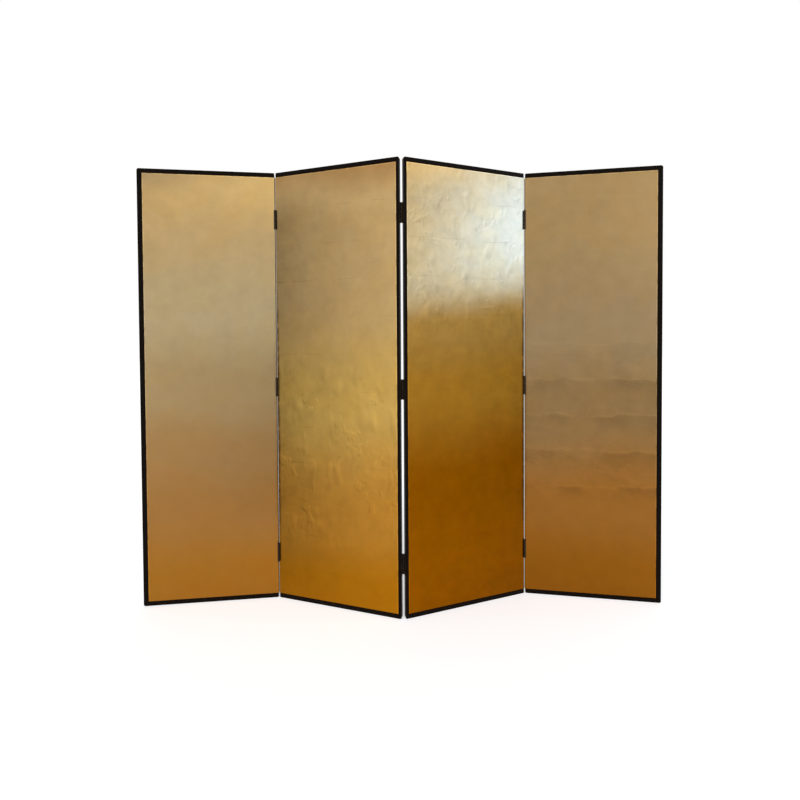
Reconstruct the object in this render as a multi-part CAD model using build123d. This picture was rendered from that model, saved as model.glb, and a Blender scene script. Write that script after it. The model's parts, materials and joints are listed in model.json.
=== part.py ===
from build123d import *
from math import asin, cos, sin
import os

# A four-panel folding screen with gilded paper faces and a black lacquered frame.
#
# Each panel is a cedar core (four half-lapped bars around a lattice of half-lapped ribs) with paper on
# both faces. Three lacquered bars are nailed round it: a top rail, a bottom rail and one stile. The
# fourth edge has no bar: the gilded paper turns over it, and it is a side fold's edge. Panels 1 and 2,
# and panels 3 and 4, meet at such an edge, with the hinge leaves let in flush so that they nearly touch.
# Panels 2 and 3 meet stile to stile in the middle, with the leaves planted on the stiles.
#
# Axes: +Z up, +X along the screen, gilded faces towards -Y. The origin is under the middle of the
# whole screen's box, on the floor. All lengths are in millimetres and all angles in degrees.

# ---------------------------------------------------------------- driving dimensions

# Whole screen
SCREEN_HEIGHT = 1750.0
PANEL_WIDTH = 531.5  # from the papered fold edge to the outer side of the stile
LEFT_FOLD = 24.5  # how far each fold is turned from flat as the screen stands
MIDDLE_FOLD = 37.7
RIGHT_FOLD = 29.0

# Lacquered bars
FRAME_DEPTH = 15.0  # front to back
RAIL_FACE = 18.0  # height of a rail, seen from the front
END_STILE_FACE = 19.0  # width of the stile at each end of the screen
MEETING_STILE_FACE = 13.0  # width of the two stiles that meet at the middle fold
FRAME_PROUD = 1.0  # how far the bars stand out from the paper, on each face
FRAME_CORNER_RADIUS = 8.0
FRAME_ARRIS_RADIUS = 0.8
RAIL_SETBACK = 1.5  # the rails stop this far short of the fold edge
RAIL_END_RADIUS = 3.0
RAIL_TENON_DEPTH = 8.0
RAIL_TENON_HEIGHT = 10.0

# Paper
PAPER_THICKNESS = 0.8  # lining papers and the face paper, pasted up as one skin
PAPER_FOLD_RADIUS = 1.0  # where the front paper turns over the fold edge

# Core
CORE_BAR_WIDTH = 20.0
RIB_WIDTH = 10.0
UPRIGHT_RIBS = 3
CROSS_RIBS = 10
RIB_TENON_DEPTH = 6.0
TENON_THICKNESS = 4.0  # of the ribs' and the rails' tenons
JOINT_CLEARANCE = 0.1  # round each tenon and beside each lap

# Nails without heads, half in the frame bar and half in the core
NAIL_DIAMETER = 2.0
NAIL_IN_FRAME = 8.0
NAIL_IN_CORE = 10.0
NAIL_POINT = 2.0
NAILS_PER_RAIL = 4
NAIL_CLEARANCE = 0.05
NAIL_HOLE_SLACK = 0.2  # beyond each point

# Hinges
HINGE_HEIGHT = 76.0
BARREL_DIAMETER = 9.0
PIN_DIAMETER = 5.0
PIN_CLEARANCE = 0.05  # radial, between the pin and the knuckles
PIN_HEAD_DIAMETER = 7.4
PIN_HEAD_RIM = 0.8
PIN_HEAD_CROWN = 1.2
PIN_BEVEL = 0.4
KNUCKLES = 5
KNUCKLE_GAP = 0.3
LEAF_THICKNESS = 1.6
LEAF_CLEARANCE = 0.65  # from the pins' axis to a leaf's open face, half the space between closed leaves
LEAF_CORNER_RADIUS = 2.0
SIDE_HINGE_INSET = 190.0  # from each end of the panel to the middle of the hinge near it
MIDDLE_HINGE_INSET = 205.0

# Countersunk wood screws
SCREWS_PER_LEAF = 3
SCREW_PITCH = 26.0
SCREW_STAGGER = 1.5  # the screws are this far off the leaf's middle line, to alternate sides
SCREW_LENGTH = 12.0
SCREW_DIAMETER = 2.8
SCREW_HEAD_DIAMETER = 5.6
SCREW_POINT = 2.5
SCREW_SLOT_WIDTH = 0.8
SCREW_SLOT_DEPTH = 0.6
SCREW_CLEARANCE = 0.05
SCREW_HOLE_SLACK = 0.6  # beyond the point

# How far a cutting solid runs past the face that it cuts, and a joined solid into the one it joins
OVERRUN = 1.0

# ---------------------------------------------------------------- worked out from them

PAPERED_DEPTH = FRAME_DEPTH - 2 * FRAME_PROUD
CORE_DEPTH = PAPERED_DEPTH - 2 * PAPER_THICKNESS
CORE_BOTTOM = RAIL_FACE
CORE_TOP = SCREEN_HEIGHT - RAIL_FACE
ARRIS = min(FRAME_ARRIS_RADIUS, 0.9 * FRAME_PROUD)

BARREL_RADIUS = BARREL_DIAMETER / 2
PIN_STANDOFF = BARREL_RADIUS  # the barrel just clears the face that it stands in front of
LEAF_COVER = PAPERED_DEPTH - PAPER_THICKNESS - JOINT_CLEARANCE  # up to the backing paper
SIDE_GAP = 2 * LEAF_CLEARANCE  # between two flat panels' edges: the side folds' leaves are let in flush
MIDDLE_GAP = SIDE_GAP + 2 * LEAF_THICKNESS  # the middle fold's leaves are planted on the stiles
KNUCKLE_LENGTH = (HINGE_HEIGHT - (KNUCKLES - 1) * KNUCKLE_GAP) / KNUCKLES
SCREW_HEAD_DEPTH = (SCREW_HEAD_DIAMETER - SCREW_DIAMETER) / 2

SIDE_HINGE_HEIGHTS = {
    "top": SCREEN_HEIGHT - SIDE_HINGE_INSET,
    "centre": SCREEN_HEIGHT / 2,
    "bottom": SIDE_HINGE_INSET,
}
MIDDLE_HINGE_HEIGHTS = {
    "top": SCREEN_HEIGHT - MIDDLE_HINGE_INSET,
    "centre": SCREEN_HEIGHT / 2,
    "bottom": MIDDLE_HINGE_INSET,
}

# ---------------------------------------------------------------- small helpers


def block(x, y, z):
    """A box from its ranges along the three axes."""
    size = [high - low for low, high in (x, y, z)]
    return Pos(x[0], y[0], z[0]) * Box(*size, align=Align.MIN)


def rod(radius, low, high):
    """A cylinder about Z between two heights."""
    return Pos(0, 0, low) * Cylinder(radius, high - low, align=(Align.CENTER, Align.CENTER, Align.MIN))


def turned(points):
    """A solid turned about Z from (radius, height) points, closed along the axis."""
    outline = Polyline([(radius, 0, height) for radius, height in points], close=True)
    return revolve(make_face(outline), Axis.Z)


def around(centre, width):
    """The range of a given width about a centre."""
    return (centre - width / 2, centre + width / 2)


def spaced(low, high, count, width):
    """Centres of pieces of one width that leave equal spaces between two walls."""
    space = (high - low - count * width) / (count + 1)
    return [low + space * (i + 1) + width * (i + 0.5) for i in range(count)]


def soften_faces(bar):
    """Round the outline of a bar's front and back faces."""
    for side in (0, -1):
        face = bar.faces().sort_by(Axis.Y)[side]
        bar = fillet(face.edges(), ARRIS)
    return bar


# ---------------------------------------------------------------- hinges
#
# A leaf is made with the pin's axis on Z and its own middle at Z = 0. The panel that it is screwed to
# lies towards +X, and its edge is covered from the face nearest the pin towards +Y.


def knuckle_centre(index):
    return (index - (KNUCKLES - 1) / 2) * (KNUCKLE_LENGTH + KNUCKLE_GAP)


def screw_places():
    """(y, z) of each screw in a leaf."""
    middle = PIN_STANDOFF + LEAF_COVER / 2
    places = []
    for i in range(SCREWS_PER_LEAF):
        side = -1 if i % 2 else 1
        places.append((middle + side * SCREW_STAGGER, (i - (SCREWS_PER_LEAF - 1) / 2) * SCREW_PITCH))
    return places


def hinge_leaf(first_knuckle):
    """A leaf that owns every second knuckle, from the first one given."""
    plate_y = (0, PIN_STANDOFF + LEAF_COVER)
    half = HINGE_HEIGHT / 2
    leaf = block((LEAF_CLEARANCE, LEAF_CLEARANCE + LEAF_THICKNESS), plate_y, (-half, half))
    far_corners = leaf.edges().filter_by(Axis.X).group_by(Axis.Y)[-1]
    leaf = fillet(far_corners, LEAF_CORNER_RADIUS)
    for index in range(KNUCKLES):
        low, high = around(knuckle_centre(index), KNUCKLE_LENGTH)
        if index % 2 == first_knuckle:
            leaf += rod(BARREL_RADIUS, low, high)
        else:
            leaf -= rod(BARREL_RADIUS + KNUCKLE_GAP, low - KNUCKLE_GAP, high + KNUCKLE_GAP)
    leaf -= rod(PIN_DIAMETER / 2 + PIN_CLEARANCE, -half - OVERRUN, half + OVERRUN)
    for y, z in screw_places():
        leaf -= Pos(LEAF_CLEARANCE, y, z) * Rot(0, 90, 0) * countersink()
    return leaf


def countersink():
    """The hole that a screw's head and neck sit in, from the leaf's open face along +Z."""
    mouth = SCREW_HEAD_DIAMETER / 2 + SCREW_CLEARANCE
    neck = SCREW_DIAMETER / 2 + SCREW_CLEARANCE
    start = -OVERRUN
    end = LEAF_THICKNESS + OVERRUN
    return turned([(0, start), (mouth, start), (mouth, 0), (neck, mouth - neck), (neck, end), (0, end)])


def screw():
    """A slotted countersunk wood screw along +Z, its head's face at Z = 0."""
    head = SCREW_HEAD_DIAMETER / 2
    shank = SCREW_DIAMETER / 2
    outline = [
        (0, 0),
        (head, 0),
        (shank, SCREW_HEAD_DEPTH),
        (shank, SCREW_LENGTH - SCREW_POINT),
        (0, SCREW_LENGTH),
    ]
    slot = block((-head, head), around(0, SCREW_SLOT_WIDTH), (-OVERRUN, SCREW_SLOT_DEPTH))
    return turned(outline) - slot


def pilot_hole():
    """The hole that a screw's shank sits in, beyond the leaf."""
    start = LEAF_THICKNESS - OVERRUN
    return rod(SCREW_DIAMETER / 2 + SCREW_CLEARANCE, start, SCREW_LENGTH + SCREW_HOLE_SLACK)


def leaf_recess():
    """The shallow pocket for a leaf that is let into an edge, in the leaf's own frame."""
    half = HINGE_HEIGHT / 2 + JOINT_CLEARANCE
    depth = (LEAF_CLEARANCE - OVERRUN, LEAF_CLEARANCE + LEAF_THICKNESS)
    return block(depth, (0, PIN_STANDOFF + PAPERED_DEPTH - PAPER_THICKNESS), (-half, half))


def hinge_pin():
    """A pin with a domed head that rests on the top knuckle."""
    half = HINGE_HEIGHT / 2
    shank = PIN_DIAMETER / 2
    head = PIN_HEAD_DIAMETER / 2
    rim_top = half + PIN_HEAD_RIM
    crown_top = rim_top + PIN_HEAD_CROWN
    dome_radius = (head**2 + PIN_HEAD_CROWN**2) / (2 * PIN_HEAD_CROWN)
    half_span = asin(head / dome_radius) / 2
    dome_middle = (dome_radius * sin(half_span), 0, crown_top - dome_radius * (1 - cos(half_span)))
    sides = Polyline(
        (0, 0, crown_top),
        (0, 0, -half),
        (shank - PIN_BEVEL, 0, -half),
        (shank, 0, -half + PIN_BEVEL),
        (shank, 0, half),
        (head, 0, half),
        (head, 0, rim_top),
    )
    dome = ThreePointArc((head, 0, rim_top), dome_middle, (0, 0, crown_top))
    return revolve(make_face(Curve() + [sides, dome]), Axis.Z)


def hinge_screws():
    """The screws of one leaf, in the leaf's own frame."""
    return [Pos(LEAF_CLEARANCE, y, z) * Rot(0, 90, 0) * screw() for y, z in screw_places()]


def hinge_pilots():
    return [Pos(LEAF_CLEARANCE, y, z) * Rot(0, 90, 0) * pilot_hole() for y, z in screw_places()]


# ---------------------------------------------------------------- one panel
#
# A panel is made with its fold edge at X = 0, its stile at the far right and its front at -Y. The left
# panel of each pair is the mirror image.


class Fold:
    """The pins' place beside one edge of a panel, and how a leaf turns to face that edge."""

    def __init__(self, x, y, turn, heights):
        self.x = x
        self.y = y
        self.turn = turn
        self.heights = heights

    def seat(self, height):
        return Pos(self.x, self.y, height) * Rot(0, 0, self.turn)


SIDE_FOLD = Fold(
    x=-SIDE_GAP / 2,
    y=-PAPERED_DEPTH / 2 - PIN_STANDOFF,
    turn=0,
    heights=SIDE_HINGE_HEIGHTS,
)
MEETING_FOLD = Fold(
    x=PANEL_WIDTH + MIDDLE_GAP / 2,
    y=FRAME_DEPTH / 2 + PIN_STANDOFF,
    turn=180,
    heights=MIDDLE_HINGE_HEIGHTS,
)


def front_paper(core_right):
    """The gilded skin: one face, and the turn over the fold edge."""
    front = -PAPERED_DEPTH / 2
    back = PAPERED_DEPTH / 2
    height = (CORE_BOTTOM, CORE_TOP)
    face = block((0, core_right), (front, front + PAPER_THICKNESS), height)
    turn_over = block((0, PAPER_THICKNESS), (front, back - PAPER_THICKNESS), height)
    skin = face + turn_over
    outer_corner = skin.edges().filter_by(Axis.Z).sort_by(lambda edge: edge.center().X + edge.center().Y)[0]
    return fillet(outer_corner, PAPER_FOLD_RADIUS)


def back_paper(core_right):
    back = PAPERED_DEPTH / 2
    return block((0, core_right), (back - PAPER_THICKNESS, back), (CORE_BOTTOM, CORE_TOP))


def core_bars(core_right):
    """Two uprights and two cross bars, halved into each other at the corners."""
    half = CORE_DEPTH / 2
    whole = (-half, half)
    left = (PAPER_THICKNESS, PAPER_THICKNESS + CORE_BAR_WIDTH)
    right = (core_right - CORE_BAR_WIDTH, core_right)
    bottom = (CORE_BOTTOM, CORE_BOTTOM + CORE_BAR_WIDTH)
    top = (CORE_TOP - CORE_BAR_WIDTH, CORE_TOP)
    ease = JOINT_CLEARANCE
    uprights = []
    for x in (left, right):
        bar = block(x, whole, (CORE_BOTTOM, CORE_TOP))
        bar -= block(x, (-half, 0), (bottom[0], bottom[1] + ease))
        bar -= block(x, (-half, 0), (top[0] - ease, top[1]))
        uprights.append(bar)
    crosses = []
    for z in (bottom, top):
        bar = block((left[0], right[1]), whole, z)
        bar -= block((left[0], left[1] + ease), (0, half), z)
        bar -= block((right[0] - ease, right[1]), (0, half), z)
        crosses.append(bar)
    return uprights, crosses


def lattice(core_right):
    """The ribs, and the mortises that the bars need for their tenons."""
    half = CORE_DEPTH / 2
    x_walls = (PAPER_THICKNESS + CORE_BAR_WIDTH, core_right - CORE_BAR_WIDTH)
    z_walls = (CORE_BOTTOM + CORE_BAR_WIDTH, CORE_TOP - CORE_BAR_WIDTH)
    columns = spaced(*x_walls, UPRIGHT_RIBS, RIB_WIDTH)
    rows = spaced(*z_walls, CROSS_RIBS, RIB_WIDTH)
    tenon_y = around(0, TENON_THICKNESS)
    mortise_y = around(0, TENON_THICKNESS + 2 * JOINT_CLEARANCE)
    mortise_width = RIB_WIDTH + 2 * JOINT_CLEARANCE
    reach = RIB_TENON_DEPTH
    sink = RIB_TENON_DEPTH + JOINT_CLEARANCE
    ribs = []
    mortises = []
    for x in columns:
        rib = block(around(x, RIB_WIDTH), (-half, half), z_walls)
        rib += block(around(x, RIB_WIDTH), tenon_y, (z_walls[0] - reach, z_walls[1] + reach))
        rib -= [block(around(x, RIB_WIDTH), (0, half), around(z, mortise_width)) for z in rows]
        ribs.append(rib)
        mortises.append(block(around(x, mortise_width), mortise_y, (z_walls[0] - sink, z_walls[1] + sink)))
    for z in rows:
        rib = block(x_walls, (-half, half), around(z, RIB_WIDTH))
        rib += block((x_walls[0] - reach, x_walls[1] + reach), tenon_y, around(z, RIB_WIDTH))
        rib -= [block(around(x, mortise_width), (-half, 0), around(z, RIB_WIDTH)) for x in columns]
        ribs.append(rib)
        mortises.append(block((x_walls[0] - sink, x_walls[1] + sink), mortise_y, around(z, mortise_width)))
    return ribs, mortises


def rail(core_right, z, outer_side):
    """A lacquered rail with a tenon at the stile."""
    bar = block((RAIL_SETBACK, core_right), around(0, FRAME_DEPTH), z)
    free_end = bar.edges().filter_by(Axis.Y).group_by(Axis.X)[0].sort_by(Axis.Z)[outer_side]
    bar = soften_faces(fillet(free_end, RAIL_END_RADIUS))
    tenon = block(
        (core_right - OVERRUN, core_right + RAIL_TENON_DEPTH),
        around(0, TENON_THICKNESS),
        around(sum(z) / 2, RAIL_TENON_HEIGHT),
    )
    return bar + tenon


def stile(core_right):
    """A lacquered stile over the full height, with its two outer corners rounded."""
    bar = block((core_right, PANEL_WIDTH), around(0, FRAME_DEPTH), (0, SCREEN_HEIGHT))
    outer_corners = bar.edges().filter_by(Axis.Y).group_by(Axis.X)[-1]
    bar = fillet(outer_corners, min(FRAME_CORNER_RADIUS, PANEL_WIDTH - core_right - 2 * ARRIS))
    bar = soften_faces(bar)
    for z in (RAIL_FACE / 2, SCREEN_HEIGHT - RAIL_FACE / 2):
        bar -= block(
            (core_right - OVERRUN, core_right + RAIL_TENON_DEPTH + JOINT_CLEARANCE),
            around(0, TENON_THICKNESS + 2 * JOINT_CLEARANCE),
            around(z, RAIL_TENON_HEIGHT + 2 * JOINT_CLEARANCE),
        )
    return bar


def nail_seats(core_right):
    """Places of the nails, each with +Z pointing from the core into the frame bar."""
    core_width = core_right - PAPER_THICKNESS
    seats = []
    for i in range(NAILS_PER_RAIL):
        x = PAPER_THICKNESS + core_width * (i + 0.5) / NAILS_PER_RAIL
        seats.append(Pos(x, 0, CORE_TOP))
        seats.append(Pos(x, 0, CORE_BOTTOM) * Rot(180, 0, 0))
    low, middle, high = sorted(MIDDLE_HINGE_HEIGHTS.values())
    heights = [(CORE_BOTTOM + low) / 2, (high + CORE_TOP) / 2]
    for start, end in ((low, middle), (middle, high)):
        heights += [start + (end - start) / 3, start + (end - start) * 2 / 3]
    for z in heights:
        seats.append(Pos(core_right, 0, z) * Rot(0, 90, 0))
    return seats


def nail():
    radius = NAIL_DIAMETER / 2
    return turned(
        [
            (0, -NAIL_IN_CORE),
            (radius, NAIL_POINT - NAIL_IN_CORE),
            (radius, NAIL_IN_FRAME - NAIL_POINT),
            (0, NAIL_IN_FRAME),
        ]
    )


def nail_hole():
    low = -NAIL_IN_CORE - NAIL_HOLE_SLACK
    high = NAIL_IN_FRAME + NAIL_HOLE_SLACK
    return rod(NAIL_DIAMETER / 2 + NAIL_CLEARANCE, low, high)


def build_panel(stile_face, stile_name, meets_middle):
    """All pieces of one panel but its hinges, as lists of solids by name."""
    core_right = PANEL_WIDTH - stile_face
    uprights, crosses = core_bars(core_right)
    ribs, mortises = lattice(core_right)
    seats = nail_seats(core_right)
    nail_holes = [seat * nail_hole() for seat in seats]
    fold_cuts = []
    for z in SIDE_FOLD.heights.values():
        fold_cuts += [SIDE_FOLD.seat(z) * cut for cut in (leaf_recess(), *hinge_pilots())]
    stile_holes = []
    if meets_middle:
        for z in MEETING_FOLD.heights.values():
            stile_holes += [MEETING_FOLD.seat(z) * hole for hole in hinge_pilots()]

    left_upright = uprights[0] - mortises - fold_cuts
    right_upright = uprights[1] - mortises - nail_holes - stile_holes
    cross_bars = [bar - mortises - nail_holes for bar in crosses]
    top_rail = rail(core_right, (CORE_TOP, SCREEN_HEIGHT), -1)
    bottom_rail = rail(core_right, (0, RAIL_FACE), 0)
    return {
        "front_paper": [front_paper(core_right) - fold_cuts],
        "back_paper": [back_paper(core_right)],
        "core_frame": [left_upright, right_upright, *cross_bars],
        "core_lattice": ribs,
        "top_rail": [top_rail - nail_holes],
        "bottom_rail": [bottom_rail - nail_holes],
        stile_name: [stile(core_right) - nail_holes - stile_holes],
        "frame_nails": [seat * nail() for seat in seats],
    }


# ---------------------------------------------------------------- the whole screen


class Panel:
    """One panel of the screen: its pieces, its hand and its place."""

    def __init__(self, number, stile_face, stile_name, meets_middle, mirrored, yaw):
        self.name = f"panel_{number}"
        self.mirrored = mirrored
        self.yaw = yaw
        self.place = Location()
        self.pieces = build_panel(stile_face, stile_name, meets_middle)

    def pin_point(self, fold):
        """A fold's pin axis, in the panel's own frame."""
        return Vector(-fold.x if self.mirrored else fold.x, fold.y, 0)

    def put_pin_at(self, fold, point):
        """Turn the panel to its yaw, with the fold's pin axis at a point on the floor."""
        turned_pin = self.pin_point(fold).rotate(Axis.Z, self.yaw)
        self.place = Pos(point - turned_pin) * Rot(0, 0, self.yaw)

    def pin_at(self, fold):
        return (self.place * Pos(self.pin_point(fold))).position

    def set_down(self, shape):
        """Bring a piece from the panel's frame to the screen's."""
        if self.mirrored:
            shape = mirror(shape, about=Plane.YZ)
        return self.place * shape


def make_panels():
    """The four panels, placed with the middle fold's pins on the Z axis."""
    yaw_2 = -MIDDLE_FOLD / 2
    yaw_3 = MIDDLE_FOLD / 2
    end = (END_STILE_FACE, "end_stile", False)
    meeting = (MEETING_STILE_FACE, "meeting_stile", True)
    panels = [
        Panel(1, *end, mirrored=True, yaw=yaw_2 + LEFT_FOLD),
        Panel(2, *meeting, mirrored=False, yaw=yaw_2),
        Panel(3, *meeting, mirrored=True, yaw=yaw_3),
        Panel(4, *end, mirrored=False, yaw=yaw_3 - RIGHT_FOLD),
    ]
    panels[1].put_pin_at(MEETING_FOLD, Vector(0, 0, 0))
    panels[2].put_pin_at(MEETING_FOLD, Vector(0, 0, 0))
    panels[0].put_pin_at(SIDE_FOLD, panels[1].pin_at(SIDE_FOLD))
    panels[3].put_pin_at(SIDE_FOLD, panels[2].pin_at(SIDE_FOLD))
    return panels


def add_hinges(nodes, name, fold, pin_panel, other_panel):
    """The hinges of one fold: their pins are held by the first panel's leaves."""
    pins = []
    for panel, first_knuckle in ((pin_panel, 0), (other_panel, 1)):
        leaf = hinge_leaf(first_knuckle)
        screws = []
        for level, height in fold.heights.items():
            seat = fold.seat(height)
            nodes[f"{name}_{level}_hinge_leaf_{panel.name}"] = [panel.set_down(seat * leaf)]
            screws += [panel.set_down(seat * one) for one in hinge_screws()]
            if panel is pin_panel:
                pins.append(panel.set_down(seat * hinge_pin()))
        nodes[f"{name}_screws_{panel.name}"] = screws
    nodes[f"{name}_hinge_pins"] = pins


def make_screen():
    """Every node of the screen and the folds' pin axes, about the screen's own origin."""
    panels = make_panels()
    nodes = {}
    for panel in panels:
        for piece, solids in panel.pieces.items():
            nodes[f"{panel.name}_{piece}"] = [panel.set_down(solid) for solid in solids]
    add_hinges(nodes, "left_fold", SIDE_FOLD, panels[1], panels[0])
    add_hinges(nodes, "middle_fold", MEETING_FOLD, panels[1], panels[2])
    add_hinges(nodes, "right_fold", SIDE_FOLD, panels[2], panels[3])

    box = Compound([solid for solids in nodes.values() for solid in solids]).bounding_box()
    to_origin = Pos(-box.center().X, -box.center().Y, -box.min.Z)
    axes = {
        "left_fold": panels[1].pin_at(SIDE_FOLD),
        "middle_fold": panels[1].pin_at(MEETING_FOLD),
        "right_fold": panels[2].pin_at(SIDE_FOLD),
    }
    nodes = {name: [to_origin * solid for solid in solids] for name, solids in nodes.items()}
    axes = {name: (to_origin * Pos(point)).position for name, point in axes.items()}
    return nodes, axes, box.size


def main():
    nodes, axes, size = make_screen()
    os.makedirs("parts", exist_ok=True)
    for name, solids in nodes.items():
        shape = solids[0] if len(solids) == 1 else Compound(solids)
        export_step(shape, f"parts/{name}.step")
    print(f"{len(nodes)} nodes, overall {size.X:.3f} x {size.Y:.3f} x {size.Z:.3f} mm")
    for name, point in axes.items():
        print(f"{name} pins at x {point.X:.4f}, y {point.Y:.4f}")


main()
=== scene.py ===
# %% [markdown]
# # A gilded folding screen
# The screen is four papered panels in black lacquered bars, joined edge to edge by metal hinges. The
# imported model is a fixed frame: its bodies move, and its nodes already lie at their real place and size
# in metres. This script gives that frame its looks. Where a node's own shape is right it only gets a
# finish, and where the real thing has more shape than the node, a new mesh takes the node's place.

# %% Load the frame
import json
from math import ceil, cos, degrees, pi, radians, sin

import bmesh
import bpy
import numpy as np
from mathutils import Matrix, Vector


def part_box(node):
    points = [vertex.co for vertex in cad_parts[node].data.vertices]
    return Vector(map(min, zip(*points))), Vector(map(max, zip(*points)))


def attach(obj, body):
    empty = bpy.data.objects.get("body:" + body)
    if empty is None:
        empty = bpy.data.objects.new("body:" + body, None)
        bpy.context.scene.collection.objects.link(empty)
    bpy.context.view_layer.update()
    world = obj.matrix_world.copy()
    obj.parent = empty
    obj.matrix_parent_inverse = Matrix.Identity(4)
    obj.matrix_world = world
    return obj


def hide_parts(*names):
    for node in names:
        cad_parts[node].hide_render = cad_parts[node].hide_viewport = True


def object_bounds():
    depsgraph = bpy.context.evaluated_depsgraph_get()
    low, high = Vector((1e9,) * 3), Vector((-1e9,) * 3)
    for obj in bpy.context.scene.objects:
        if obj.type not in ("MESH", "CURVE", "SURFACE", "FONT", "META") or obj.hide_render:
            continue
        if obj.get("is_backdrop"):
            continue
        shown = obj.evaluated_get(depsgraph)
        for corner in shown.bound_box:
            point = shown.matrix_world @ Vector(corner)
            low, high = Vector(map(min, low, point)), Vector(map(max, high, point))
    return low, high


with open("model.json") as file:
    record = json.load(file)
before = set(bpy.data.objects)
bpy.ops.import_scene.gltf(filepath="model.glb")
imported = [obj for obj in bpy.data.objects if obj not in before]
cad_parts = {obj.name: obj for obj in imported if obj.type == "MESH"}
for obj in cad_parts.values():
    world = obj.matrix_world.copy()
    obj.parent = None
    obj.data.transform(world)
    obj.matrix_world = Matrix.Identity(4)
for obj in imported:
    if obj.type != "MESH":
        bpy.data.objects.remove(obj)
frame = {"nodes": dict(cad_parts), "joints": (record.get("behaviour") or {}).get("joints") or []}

cad_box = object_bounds()
print(f"{len(frame['nodes'])} nodes, box {[round(v, 4) for v in cad_box[1] - cad_box[0]]} m")

# %% [markdown]
# ## Where the panels stand
# Paper, bars and leaf seams all run along a panel's own edges, so each panel gets a frame of its own:
# u from the fold edge to the stile, then depth with the gilded face at the negative side, then height.
# The pins' places come from the joints and the turns from how far each fold stands from its stop, so
# nothing is measured twice. Two of the panels are mirror images, which a hand of -1 takes care of.

# %% The panels' own frames
MM = 0.001
PANEL_WIDTH = 531.5 * MM
FRAME_DEPTH = 15 * MM
FRAME_PROUD = 1 * MM  # how far the bars stand out from the paper
RAIL_FACE = 18 * MM
PAPER_THICKNESS = 0.8 * MM
SIDE_GAP = 1.3 * MM  # between the papered edges of a side fold when it lies flat
BARREL_RADIUS = 4.5 * MM
LEAF_THICKNESS = 1.6 * MM

PAPER_FACE = FRAME_DEPTH / 2 - FRAME_PROUD  # depth of both papered faces from the panel's middle
PAPER_BACK = PAPER_FACE - PAPER_THICKNESS
SCREEN_HEIGHT = cad_box[1].z - cad_box[0].z
STILE_FACES = {1: 19 * MM, 2: 13 * MM, 3: 13 * MM, 4: 19 * MM}

folds = {joint["name"]: joint for joint in frame["joints"]}


class Panel:
    """One panel's frame, and its place in the screen."""

    def __init__(self, number, hand, yaw, fold):
        self.number = number
        self.name = f"panel_{number}"
        self.hand = hand
        self.yaw = yaw
        self.paper_width = PANEL_WIDTH - STILE_FACES[number]
        turn = Matrix.Rotation(yaw, 4, "Z")
        pin = Vector((-hand * SIDE_GAP / 2, -PAPER_FACE - BARREL_RADIUS, 0))
        where = Vector((*folds[fold]["pos_m"][:2], 0))
        self.corner = where - turn @ pin  # foot of the fold edge
        self.place = Matrix.Translation(self.corner) @ turn @ Matrix.Scale(hand, 4, (1, 0, 0))

    def set_down(self, mesh):
        """Bring a mesh from this frame to the screen's."""
        mesh.transform(self.place)
        if self.hand < 0:
            mesh.flip_normals()

    def point(self, u, depth, height):
        return self.place @ Vector((u, depth, height))


half_middle = -radians(folds["middle_fold"]["range_deg"][0]) / 2
left_turn = -radians(folds["left_fold"]["range_deg"][0])
right_turn = -radians(folds["right_fold"]["range_deg"][0])
PANELS = [
    Panel(1, -1, left_turn - half_middle, "left_fold"),
    Panel(2, 1, -half_middle, "left_fold"),
    Panel(3, -1, half_middle, "right_fold"),
    Panel(4, 1, half_middle - right_turn, "right_fold"),
]
for panel in PANELS:
    low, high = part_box(f"{panel.name}_front_paper")
    far = panel.point(panel.paper_width, -PAPER_FACE, 0)
    off = min(abs(far.x - low.x), abs(far.x - high.x))
    print(f"{panel.name}: yaw {degrees(panel.yaw):.2f} degrees, paper's edge off by {off / MM:.3f} mm")

# %% [markdown]
# ## The camera
# It stands close in front of the screen and a little above its middle, so the panels that come forward
# look taller than the ones that fold back. A camera could be aimed with a constraint, but its three
# turns written out keep the roll of a hand-held shot. The frame is slid down a little instead of the
# camera being tipped, so that upright edges stay almost upright.

# %% Place the camera
CAMERA_PLACE = (-0.0391, -1.8245, 1.0446)
CAMERA_TURN = (-1.153, 0.334, -1.181)  # pitch, roll and yaw from straight along +Y, in degrees
FOCAL_PIXELS = 460.0
MIDDLE_PIXEL = (400.8, 354.4)  # where the lens looks straight ahead
IMAGE_SIDE = 800.0
SENSOR = 36.0


def put_in_scene(name, data):
    """An object with this data, linked to the scene."""
    thing = bpy.data.objects.new(name, data)
    bpy.context.scene.collection.objects.link(thing)
    return thing


lens = bpy.data.cameras.new("camera")
lens.sensor_width = SENSOR
lens.lens = SENSOR * FOCAL_PIXELS / IMAGE_SIDE
lens.shift_x = (IMAGE_SIDE / 2 - MIDDLE_PIXEL[0]) / IMAGE_SIDE
lens.shift_y = (MIDDLE_PIXEL[1] - IMAGE_SIDE / 2) / IMAGE_SIDE
camera = put_in_scene("camera", lens)
pitch, roll, yaw = (radians(turn) for turn in CAMERA_TURN)
aim = Matrix.Rotation(yaw, 4, "Z") @ Matrix.Rotation(pitch, 4, "X") @ Matrix.Rotation(roll, 4, "Y")
camera.matrix_world = Matrix.Translation(CAMERA_PLACE) @ aim @ Matrix.Rotation(pi / 2, 4, "X")
bpy.context.scene.camera = camera
bpy.context.scene.view_settings.view_transform = "Standard"
print(f"lens {lens.lens:.2f} mm, shift {lens.shift_x:.4f}, {lens.shift_y:.4f}")

# %% [markdown]
# ## Node trees written as sums
# A finish is mostly arithmetic on a few patterns, and wiring Math nodes by hand hides that. Here a Wire
# is one value in a tree, and Python's own operators on it add the Math nodes.


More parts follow.
